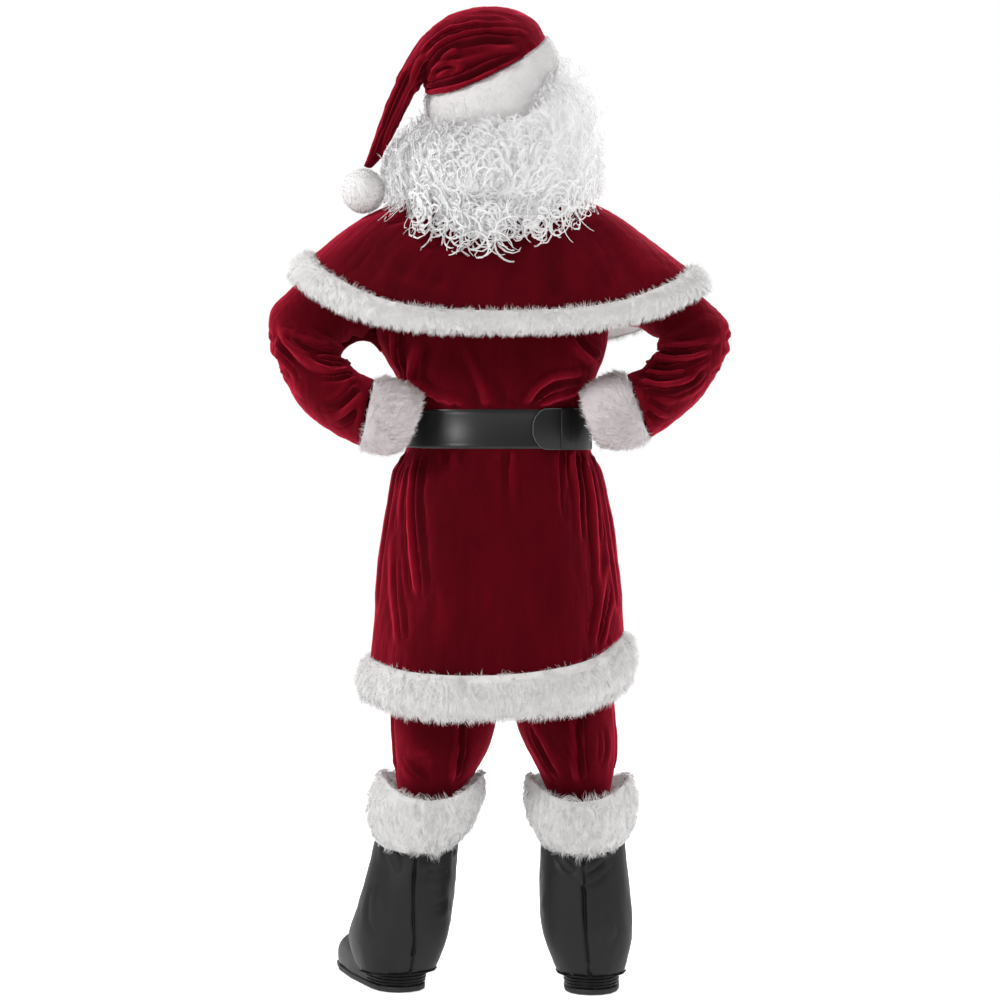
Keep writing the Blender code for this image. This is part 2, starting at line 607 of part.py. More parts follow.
def coat_shells():
    """The back and the front of the coat, each from hem to shoulder."""
    rings = coat_lower_rings()
    halves = {}
    for side, first in (("front", 0), ("back", HALF)):
        places = [(first + k) % ROUND for k in range(HALF + 1)]
        rows = [ring[places] for ring in rings]
        rows += [coat_yoke_row(row, side) for row in YOKE_SECTIONS[1:]]
        rows.append(coat_shoulder_row(side))
        halves[side] = Shell(rows, VELVET)
    return halves


def armhole_loop(halves, side):
    """The armhole's edge: up the back from the underarm, over the shoulder, down the front."""
    first = len(COAT_SECTIONS) - 1
    back_column = HALF if side == "right" else 0
    front_column = 0 if side == "right" else HALF
    back = halves["back"].outer[first:, back_column]
    front = halves["front"].outer[first:, front_column]
    return np.concatenate([back, front[-2:0:-1]])


def sleeve_shell(halves, side):
    """A bent sleeve from the armhole to the cuff seam."""
    table = resample(SLEEVE_LEFT if side == "left" else SLEEVE_RIGHT, SLEEVE_RINGS)
    turn = np.arange(SLEEVE_ROUND) * 2 * math.pi / SLEEVE_ROUND
    rings = [armhole_loop(halves, side)]
    for k in range(SLEEVE_RINGS):
        place = (k + 1) / SLEEVE_RINGS
        relief = np.zeros(SLEEVE_ROUND)
        for at, spread, deepest, height in SLEEVE_FOLDS[1:]:
            reach = 0.5 + 0.5 * np.cos(turn - math.radians(deepest))
            relief += height * math.exp(-((place - at) / spread) ** 2) * reach
        outer = np.array([table["outer_x"][k], table["outer_z"][k]])
        inner = np.array([table["inner_x"][k], table["inner_z"][k]])
        middle = (outer + inner) / 2
        arm = (outer - inner) / 2
        swell = 1 + relief / np.linalg.norm(arm)
        x = middle[0] - arm[0] * np.cos(turn) * swell
        z = middle[1] - arm[1] * np.cos(turn) * swell
        y = table["middle"][k] - (table["depth"][k] + relief) * np.sin(turn)
        rings.append(np.stack([x, y, z], axis=1))
    return Shell(rings, VELVET, wrap=True)


def cuff(side, shell):
    """The fur cuff past a sleeve's last ring."""
    end = CUFF_LEFT_END if side == "left" else CUFF_RIGHT_END
    turn = np.arange(SLEEVE_ROUND) * 2 * math.pi / SLEEVE_ROUND
    top = np.array(end["top"])
    bottom = np.array(end["bottom"])
    middle = (top + bottom) / 2
    arm = (bottom - top) / 2
    x = middle[0] - arm[0] * np.cos(turn) - end["skew"] * np.sin(turn)
    z = middle[1] - arm[1] * np.cos(turn)
    y = end["middle"] - end["depth"] * np.sin(turn)
    edge = np.stack([x, y, z], axis=1)
    way = unit(shell.outer[-1] - shell.outer[-2])
    fur_band(f"coat_cuff_{side}", shell.outer[-1], shell.inner()[-1], way, edge, CUFF_PUFF)


def make_coat():
    """Back, two fronts, sleeves, fur cuffs and the fur round the hem."""
    halves = coat_shells()
    sleeves = {side: sleeve_shell(halves, side) for side in ("left", "right")}
    share_seams([halves["back"], halves["front"], sleeves["left"], sleeves["right"]])
    panel("coat_back", halves["back"], "velvet")
    panel("coat_front_right", halves["front"], "velvet", keep=lambda i, j: j < HALF // 2)
    panel("coat_front_left", halves["front"], "velvet", keep=lambda i, j: j >= HALF // 2)
    for side, shell in sleeves.items():
        panel(f"coat_sleeve_{side}", shell, "velvet", draw=SLEEVE_PULL)
        cuff(side, shell)
    outer = np.concatenate([halves["front"].outer[:2, :-1], halves["back"].outer[:2, :-1]], axis=1)
    inner = np.concatenate([halves["front"].inner()[0, :-1], halves["back"].inner()[0, :-1]])
    angles = np.arange(ROUND) * 360 / ROUND
    away = unit(outer[0] * [1, 1, 0])
    edge = outer[0] + away * around_value(HEM_FUR_SIZE, "out", angles)[:, None]
    edge[:, 2] = around_value(HEM_FUR_SIZE, "height", angles)
    fur_band("coat_hem_fur", outer[0], inner, unit(outer[0] - outer[1]), edge, HEM_FUR_PUFF)


# ------------------------------------------------------------------ cape
def cape_ring(row, angles):
    """One ring of the cape, lower at the back and front than at the sides."""
    left, right, back, front, left_z, right_z, back_z, front_z = row
    x, y = section(angles, left, right, back, front, CAPE_POWER)
    turn = np.radians(angles)
    side_z = np.where(np.cos(turn) > 0, right_z, left_z)
    middle_z = (left_z + right_z) / 2
    blend = np.clip(np.abs(np.cos(turn)) * 2, 0, 1)
    side_z = middle_z + (side_z - middle_z) * blend
    drop_z = np.where(np.sin(turn) > 0, front_z, back_z)
    z = side_z + (drop_z - side_z) * np.abs(np.sin(turn)) ** CAPE_SWEEP
    return np.stack([x, y, z], axis=1)


def make_cape():
    """One piece of velvet round the shoulders and the fur along its hem."""
    angles = np.linspace(90 + CAPE_FRONT_GAP, 450 - CAPE_FRONT_GAP, ROUND + 1)
    turn = np.radians(angles)
    rows = []
    last = len(CAPE_SECTIONS) - 2
    for k, row in enumerate(CAPE_SECTIONS[1:]):
        ring = cape_ring(row, angles)
        for angle, spread, relief, start in CAPE_FOLDS[1:]:
            away = (angles - angle + 180) % 360 - 180
            depth = relief * max(0, k / last - start) / (1 - start) * np.exp(-(away / spread) ** 2)
            ring[:, 0] += depth * np.cos(turn)
            ring[:, 1] += depth * np.sin(turn)
        rows.append(ring)
    shell = Shell(rows, VELVET)
    panel("cape_body", shell, "velvet")
    names = ("left", "right", "back", "front", "left_z", "right_z", "back_z", "front_z")
    edge = cape_ring([CAPE_FUR_EDGE[name] for name in names], angles)
    way = unit(shell.outer[-1] - shell.outer[-2])
    fur_band("cape_fur", shell.outer[-1], shell.inner()[-1], way, edge, CAPE_FUR_PUFF, closed=False)


# ------------------------------------------------------------------ belt
def belt_line(place, out):
    """A point of the belt's run, in columns round the body, moved outward."""
    row = COAT_SECTIONS[BELT_ROW]
    corners = []
    for step in (math.floor(place), math.floor(place) + 1):
        angle = np.array([step * 360 / ROUND])
        x, y = section(angle, row[1] + out, row[2] + out, row[3] + out, row[4] + out, BODY_POWER)
        corners.append(np.array([x[0], y[0]]))
    share = place - math.floor(place)
    return corners[0] * (1 - share) + corners[1] * share


def make_belt():
    """The strap with two stitched ridges, its rounded upper end and the keeper over it."""
    height = BELT_TOP - BELT_BOTTOM
    base = BELT_CLEAR
    loops = []
    for place in range(ROUND):
        loop = []
        for up, ridge in BELT_PROFILE[1:]:
            x, y = belt_line(place, base + BELT_THICKNESS + BELT_RIDGE * ridge)
            loop.append((x, y, BELT_BOTTOM + height * up))
        for up in (1, 0):
            x, y = belt_line(place, base)
            loop.append((x, y, BELT_BOTTOM + height * up))
        loops.append(loop)
    loft("belt_strap", loops, "belt_leatherette", sharp=30)
    middle = (BELT_TOP + BELT_BOTTOM) / 2
    start, stop = BELT_END_COLUMNS
    near = base + BELT_THICKNESS + BELT_RIDGE + BELT_CLEAR
    far = near + BELT_END_THICKNESS
    steps = [0.04, 0.2, 0.5, 0.8]
    places = [start + BELT_END_ROUND * step for step in steps]
    places += list(np.arange(math.ceil(start + BELT_END_ROUND), stop + 0.01, 1.0))
    loops = []
    for place in places:
        share = min(1.0, (place - start) / BELT_END_ROUND)
        half = BELT_END_HEIGHT / 2 * math.sqrt(1 - (1 - share) ** 2)
        loops.append([(*belt_line(place, near), middle - half), (*belt_line(place, far), middle - half),
                      (*belt_line(place, far), middle + half), (*belt_line(place, near), middle + half)])
    loft("belt_end", loops, "belt_leatherette", closed=False, sharp=30)
    near = far + BELT_CLEAR
    far = near + KEEPER_THICKNESS
    half = BELT_END_HEIGHT / 2 + 0.001
    loops = []
    first, last = KEEPER_COLUMNS
    for place in (first, *range(math.ceil(first), math.ceil(last)), last):
        loops.append([(*belt_line(place, near), middle - half), (*belt_line(place, far), middle - half),
                      (*belt_line(place, far), middle + half), (*belt_line(place, near), middle + half)])
    loft("belt_keeper", loops, "belt_leatherette", closed=False, sharp=30)


# ------------------------------------------------------------------ trousers
def hip_row(row, side, face):
    """A quarter of the hips, from the side seam to the centre or crotch seam."""
    height, axis, outer, back, front = row
    half = outer - axis
    last = math.pi / 2 if axis <= 0 else math.acos(max(-1.0, -axis / half))
    turn = np.linspace(0, last, LEG_HALF + 1)
    x = axis + half * powered(np.cos(turn), BODY_POWER)
    if axis > 0:
        x = x - x[-1] * np.linspace(0, 1, LEG_HALF + 1) ** 3
    y = (front if face == "front" else -back) * np.abs(powered(np.sin(turn), BODY_POWER))
    sign = 1 if side == "right" else -1
    return np.stack([sign * x, y, np.full(len(turn), height)], axis=1)


def leg_row(row, face):
    """Half of a leg's ring, from the outer seam to the inner seam."""
    height, outer, inner, middle, depth = row
    turn = np.linspace(0, math.pi, LEG_HALF + 1)
    x = (outer + inner) / 2 + (outer - inner) / 2 * powered(np.cos(turn), 2.2)
    y = middle + (depth if face == "front" else -depth) * np.abs(powered(np.sin(turn), 2.2))
    return np.stack([x, y, np.full(len(turn), height)], axis=1)


def make_trousers():
    """Front and back of each leg, from under the belt to inside the boots."""
    height, left, right, back, front = COAT_SECTIONS[BELT_ROW]
    inset = VELVET + TROUSER_CLEAR
    waist = (TROUSER_TOP, 0.0, min(left, right) - inset, back - inset, front - inset)
    shells = {}
    for side, table in (("left", LEG_LEFT), ("right", LEG_RIGHT)):
        for face in ("back", "front"):
            rows = [hip_row(waist, side, face)]
            rows += [hip_row(row, side, face) for row in TROUSER_HIPS[1:]]
            rows += [leg_row(row, face) for row in table[1:]]
            shells[face, side] = Shell(rows, VELVET)
    share_seams(list(shells.values()))
    for (face, side), shell in shells.items():
        panel(f"trousers_{face}_{side}", shell, "velvet")


# ------------------------------------------------------------------ boots
def boot_point(side, x, y, z, piece):
    """A point of a boot's own frame, turned with its piece and set on the leaning shaft's axis."""
    axes = BOOT_AXES[side]
    if piece == "foot":
        turn = math.radians(axes["foot_turn"])
    else:
        turn = np.radians(np.interp(z, axes["heights"], axes["turn"]))
    centre = np.interp(z, axes["heights"], axes["x"])
    world_x = centre + x * np.cos(turn) - y * np.sin(turn)
    world_y = axes["y"] + x * np.sin(turn) + y * np.cos(turn)
    return np.stack([world_x, world_y, np.broadcast_to(z, np.shape(x))], axis=-1)


def boot_rings(side, table, lift, dip, piece):
    """Rings of a boot piece; the lowest row rises at the toe and the highest dips at the heel."""
    angles = np.arange(BOOT_ROUND) * 360 / BOOT_ROUND - 90
    turn = np.radians(angles)
    rings = []
    rows = table[1:]
    for k, (height, width, back, front) in enumerate(rows):
        if piece == "shaft":
            width += np.interp(height, BOOT_AXES[side]["heights"], BOOT_AXES[side]["swell"])
        x, y = section(angles, width, width, back, front, 2.2)
        low = max(0.0, 1 - k / 2)
        high = max(0.0, 1 - (len(rows) - 1 - k) / 2)
        z = height + lift * low * np.clip(np.sin(turn), 0, 1) - dip * high * np.clip(-np.sin(turn), 0, 1)
        rings.append(boot_point(side, x, y, z, piece))
    return rings


def make_boot(side):
    """Two halves of the shaft, the foot under them, its sole and the fur round the top."""
    rings = boot_rings(side, BOOT_SHAFT, SHAFT_HEM_LIFT, BOOT_TOP_DIP, "shaft")
    shaft = Shell(rings, LEATHERETTE, wrap=True)
    half = BOOT_ROUND // 2
    right_half, left_half = ("inner", "outer") if side == "left" else ("outer", "inner")
    panel(f"boot_{side}_shaft_{right_half}", shaft, "boot_leatherette", keep=lambda i, j: j < half)
    panel(f"boot_{side}_shaft_{left_half}", shaft, "boot_leatherette", keep=lambda i, j: j >= half)
    foot = Shell(boot_rings(side, BOOT_FOOT, 0.0, 0.0, "foot"), LEATHERETTE, wrap=True)
    panel(f"boot_{side}_foot", foot, "boot_leatherette")
    angles = np.arange(BOOT_ROUND) * 360 / BOOT_ROUND - 90
    bottom = BOOT_FOOT[1]
    x, y = section(angles, bottom[1] + 0.001, bottom[1] + 0.001, bottom[2] + 0.001, bottom[3] + 0.001, 2.2)
    low = boot_point(side, x, y, FLOOR, "foot")
    high = boot_point(side, x, y, SOLE_TOP, "foot")
    loft(f"boot_{side}_sole", [low, high], "sole_rubber", closed=False, sharp=30)
    edge_size = BOOT_FUR_EDGE[side]
    turn = np.radians(angles)
    x, y = section(angles, edge_size["width"], edge_size["width"], edge_size["depth"], edge_size["depth"], 2.2)
    fore = np.clip(np.sin(turn), 0, 1) ** 2 * (edge_size["front_z"] - edge_size["side_z"])
    aft = np.clip(-np.sin(turn), 0, 1) ** 2 * (edge_size["back_z"] - edge_size["side_z"])
    edge = np.stack([edge_size["x"] + x, edge_size["y"] + y, edge_size["side_z"] + fore + aft], axis=1)
    way = unit(shaft.outer[-1] - shaft.outer[-2])
    outside = ((-0.12, 0.34), (0.16, 0.86), (0.62, 0.88), (0.97, 0.40))
    fur_band(f"boot_{side}_fur", shaft.outer[-1], shaft.inner()[-1], way, edge, BOOT_FUR_PUFF[side],
             outside=outside)


# ------------------------------------------------------------------ hat
def make_hat():
    """The drooping crown, the fur band round the head and the pompom at the tip."""
    turn = np.arange(HAT_ROUND) * 2 * math.pi / HAT_ROUND
    rows = []
    for outer_x, outer_z, inner_x, inner_z, middle, depth, drop in HAT_CROWN[1:]:
        x = (outer_x + inner_x) / 2 + (outer_x - inner_x) / 2 * np.cos(turn)
        z = (outer_z + inner_z) / 2 + (outer_z - inner_z) / 2 * np.cos(turn) + drop * np.sin(turn)
        rows.append(np.stack([x, middle + depth * np.sin(turn), z], axis=1))
    tip_x = (HAT_CROWN[-1][0] + HAT_CROWN[-1][2]) / 2
    pom_x, pom_y, pom_z = POMPOM_CENTRE
    over = math.sqrt(POMPOM_RADIUS ** 2 - (tip_x - pom_x) ** 2)
    tip = (tip_x, pom_y, pom_z + over + TAIL_CLEAR)
    rows.append(np.tile(tip, (HAT_ROUND, 1)))
    crown = Shell(rows, VELVET * 0.8, wrap=True)
    panel("hat_crown", crown, "velvet")
    lean = math.radians(HAT_TILT)
    size = HAT_BAND_EDGE
    x = size["centre"][0] + size["width"] * np.cos(turn) * math.cos(lean)
    z = size["centre"][1] + size["width"] * np.cos(turn) * math.sin(lean) + size["drop"] * np.sin(turn)
    edge = np.stack([x, size["depth"] * np.sin(turn), z], axis=1)
    way = unit(crown.outer[0] - crown.outer[1])
    fur_band("hat_band", crown.outer[0], crown.inner()[0], way, edge, HAT_BAND_PUFF)
    bm = bmesh.new()
    bmesh.ops.create_uvsphere(bm, u_segments=14, v_segments=9, radius=POMPOM_RADIUS)
    bmesh.ops.translate(bm, verts=bm.verts, vec=POMPOM_CENTRE)
    finish_object("hat_pompom", bm, "fur", sharp=80)


# ------------------------------------------------------------------ wig
def cap_point(angle, height, out=0.0):
    """A point of the wig's cap, moved outward from its net."""
    across, along, up = (radius + out for radius in CAP_RADII)
    level = (height - HEAD_CENTRE[2]) / up
    reach = math.sqrt(max(0.0, 1 - level * level))
    return np.array([HEAD_CENTRE[0] + across * reach * math.cos(angle),
                     HEAD_CENTRE[1] + along * reach * math.sin(angle), height])


def make_cap():
    """A net bowl on the head, open in front of the face."""
    turn = np.arange(CAP_ROUND) * 2 * math.pi / CAP_ROUND
    rows = [[cap_point(angle, height) for angle in turn] for height in CAP_HEIGHTS]
    top = (HEAD_CENTRE[0], HEAD_CENTRE[1], HEAD_CENTRE[2] + CAP_RADII[2] - 0.001)
    rows.append([top] * CAP_ROUND)

    def behind_face(i, j):
        middle = math.degrees(turn[j]) + 180 / CAP_ROUND
        return i >= CAP_FACE_ROWS or abs((middle - 90 + 180) % 360 - 180) > CAP_FACE_HALF

    panel("wig_cap", Shell(rows, CAP_NET, wrap=True), "hair", keep=behind_face)


def hair_shell():
    """The outer layer of curls: a lumpy wall open in front of the face."""
    first, last = (math.radians(180 + angle) for angle in HAIR_SPAN)
    turn = np.linspace(first, last, HAIR_ROUND + 1)
    rows = []
    for k, (height, left, right, back, tilt, pitch, curl) in enumerate(HAIR_SECTIONS[1:]):
        lump = curl * np.sin(np.arange(HAIR_ROUND + 1) * 2.1 + 1.7 * k)
        reach = np.where(np.cos(turn) > 0, right, left)
        x = (reach + lump) * np.cos(turn)
        y = HEAD_CENTRE[1] + (back + lump) * np.sin(turn)
        z = height + tilt * np.cos(turn) + pitch * np.minimum(np.sin(turn), 0)
        rows.append(np.stack([x, y, z], axis=1))
    return Shell(rows, HAIR_WALL), turn


def lock_point(root, angle, share, size, index):
    """A point of one curly lock, which bows outward and then hangs down to its tip."""
    outward = np.array([math.cos(angle), math.sin(angle), 0.0])
    sideways = np.array([-outward[1], outward[0], 0.0])
    backness = max(0.0, -math.sin(angle)) ** 2
    reach = size["tip_side"] + (size["tip_back"] - size["tip_side"]) * backness
    tip = outward * reach
    tip[2] = size["side_z"] + (size["back_z"] - size["side_z"]) * backness
    tip[2] += (0.003 + 0.013 * backness) * math.sin(2.4 * index)
    bow = root + outward * (size["reach"] + 0.012)
    low = tip + outward * 0.008 + np.array([0, 0, 0.4 * (root[2] - tip[2])])
    away = 1 - share
    point = root * away ** 3 + 3 * bow * share * away ** 2 + 3 * low * share ** 2 * away + tip * share ** 3
    swing = size["wave"] * min(1.0, 3 * share)
    phase = 9.0 * share + index * 1.7
    return point + sideways * swing * math.sin(phase) + outward * swing * 0.5 * (math.cos(phase) - 1)


def grow_lock(bm, frame, angle, size, index):
    """Extrudes a tapering four-sided lock from a face's corners along its curly way."""
    centre = np.mean([np.array(corner.co) for corner in frame], axis=0)
    sideways = np.array(frame[1].co) - np.array(frame[0].co)
    ring = frame
    for step in range(LOCK_STEPS + 1):
        share = step / LOCK_STEPS
        here = lock_point(centre, angle, share, size, index)
        ahead = lock_point(centre, angle, share + 0.05, size, index)
        way = unit(ahead - here) if step else np.array([math.cos(angle), math.sin(angle), 0.0])
        across = unit(sideways - way * np.dot(sideways, way))
        up = np.cross(way, across)
        half = LOCK_SIDE / 2 * (1 - 0.5 * share)
        new = [bm.verts.new(here + across * half * a + up * half * b)
               for a, b in ((-1, -1), (1, -1), (1, 1), (-1, 1))]
        for side in range(4):
            after = (side + 1) % 4
            bm.faces.new([ring[side], ring[after], new[after], new[side]])
        ring = new
    bm.faces.new(ring)


def strip_with_locks(name, columns, angles, size):
    """A closed strip through four-cornered columns, with a lock grown from each outer face."""
    bm = bmesh.new()
    columns = [[bm.verts.new(point) for point in loop] for loop in columns]
    for k, (left, right) in enumerate(zip(columns, columns[1:])):
        for side in (0, 2, 3):
            after = (side + 1) % 4
            bm.faces.new([left[side], left[after], right[after], right[side]])
        frame = [left[1], right[1], right[2], left[2]]
        grow_lock(bm, frame, (angles[k] + angles[k + 1]) / 2, size, k)
    bm.faces.new(columns[0])
    bm.faces.new(columns[-1][::-1])
    finish_object(name, bm, "hair", sharp=60)


def make_wig():
    """Cap, layer of curls, and the fringe of locks under its edge."""
    make_cap()
    layer, turn = hair_shell()
    panel("wig_curls", layer, "hair")
    way = unit(layer.outer[-1] - layer.outer[-2])
    near = layer.inner()[-1] + way * SEAM * 2
    far = layer.outer[-1] + way * SEAM * 2
    drop = way * FRINGE_STRIP
    columns = [[near[k] + drop[k], far[k] + drop[k], far[k], near[k]] for k in range(HAIR_ROUND + 1)]
    strip_with_locks("wig_fringe", columns, turn, FRINGE)


# ------------------------------------------------------------------ the whole costume
def main():
    """Empties the scene and builds every piece."""
    for thing in list(bpy.data.objects):
        bpy.data.objects.remove(thing, do_unlink=True)
    neck = bpy.data.objects.new("neck", None)
    neck.location = (0.0, 0.0, -NECK_HEIGHT)
    bpy.context.scene.collection.objects.link(neck)
    make_coat()
    make_cape()
    make_belt()
    make_trousers()
    for side in ("left", "right"):
        make_boot(side)
    make_hat()
    make_wig()


main()
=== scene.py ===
"""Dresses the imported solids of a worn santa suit: velvet, fur, leatherette and a curly wig.

Metres, +Z up, the wearer faces +Y and is seen from behind. The origin is the base of the neck,
so a height above the floor is the Z of a point plus NECK_HEIGHT.
"""

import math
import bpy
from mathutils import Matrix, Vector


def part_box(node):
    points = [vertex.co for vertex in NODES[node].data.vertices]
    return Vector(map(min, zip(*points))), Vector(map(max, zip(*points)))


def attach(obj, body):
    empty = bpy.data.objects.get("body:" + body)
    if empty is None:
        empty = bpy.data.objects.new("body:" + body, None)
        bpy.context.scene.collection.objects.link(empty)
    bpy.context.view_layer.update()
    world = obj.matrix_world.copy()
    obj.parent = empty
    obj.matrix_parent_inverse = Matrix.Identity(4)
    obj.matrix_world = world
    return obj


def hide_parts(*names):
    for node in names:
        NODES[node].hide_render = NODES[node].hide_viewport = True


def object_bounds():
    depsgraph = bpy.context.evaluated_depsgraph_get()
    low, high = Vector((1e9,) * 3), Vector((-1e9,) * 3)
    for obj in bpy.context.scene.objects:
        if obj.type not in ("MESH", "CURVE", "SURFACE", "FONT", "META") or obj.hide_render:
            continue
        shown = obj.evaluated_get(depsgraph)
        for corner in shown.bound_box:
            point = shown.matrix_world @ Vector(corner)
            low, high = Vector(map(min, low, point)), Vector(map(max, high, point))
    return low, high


bl_info = {
    "name": "Santa Suit",
    "version": (1, 0, 0),
    "blender": (4, 5, 0),
    "location": "View3D > Sidebar > Santa Suit",
    "description": "Dresses a worn santa suit in velvet, fur, curls and leatherette",
    "category": "Object",
}

import bmesh
import bpy
import numpy as np
from mathutils import Vector, kdtree
from mathutils.bvhtree import BVHTree

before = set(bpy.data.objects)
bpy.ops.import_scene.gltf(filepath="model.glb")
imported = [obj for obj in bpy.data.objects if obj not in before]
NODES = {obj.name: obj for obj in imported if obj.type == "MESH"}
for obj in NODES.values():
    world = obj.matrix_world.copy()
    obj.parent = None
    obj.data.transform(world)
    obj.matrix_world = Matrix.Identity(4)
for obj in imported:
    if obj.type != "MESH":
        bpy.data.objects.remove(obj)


def corners(box):
    """A box as two plain lists of numbers."""
    return [[float(value) for value in corner] for corner in box]


CAD_BOX = corners(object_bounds())
NECK_HEIGHT = 1.460
UP = np.array([0.0, 0.0, 1.0])
WHITE = (1.0, 1.0, 1.0)

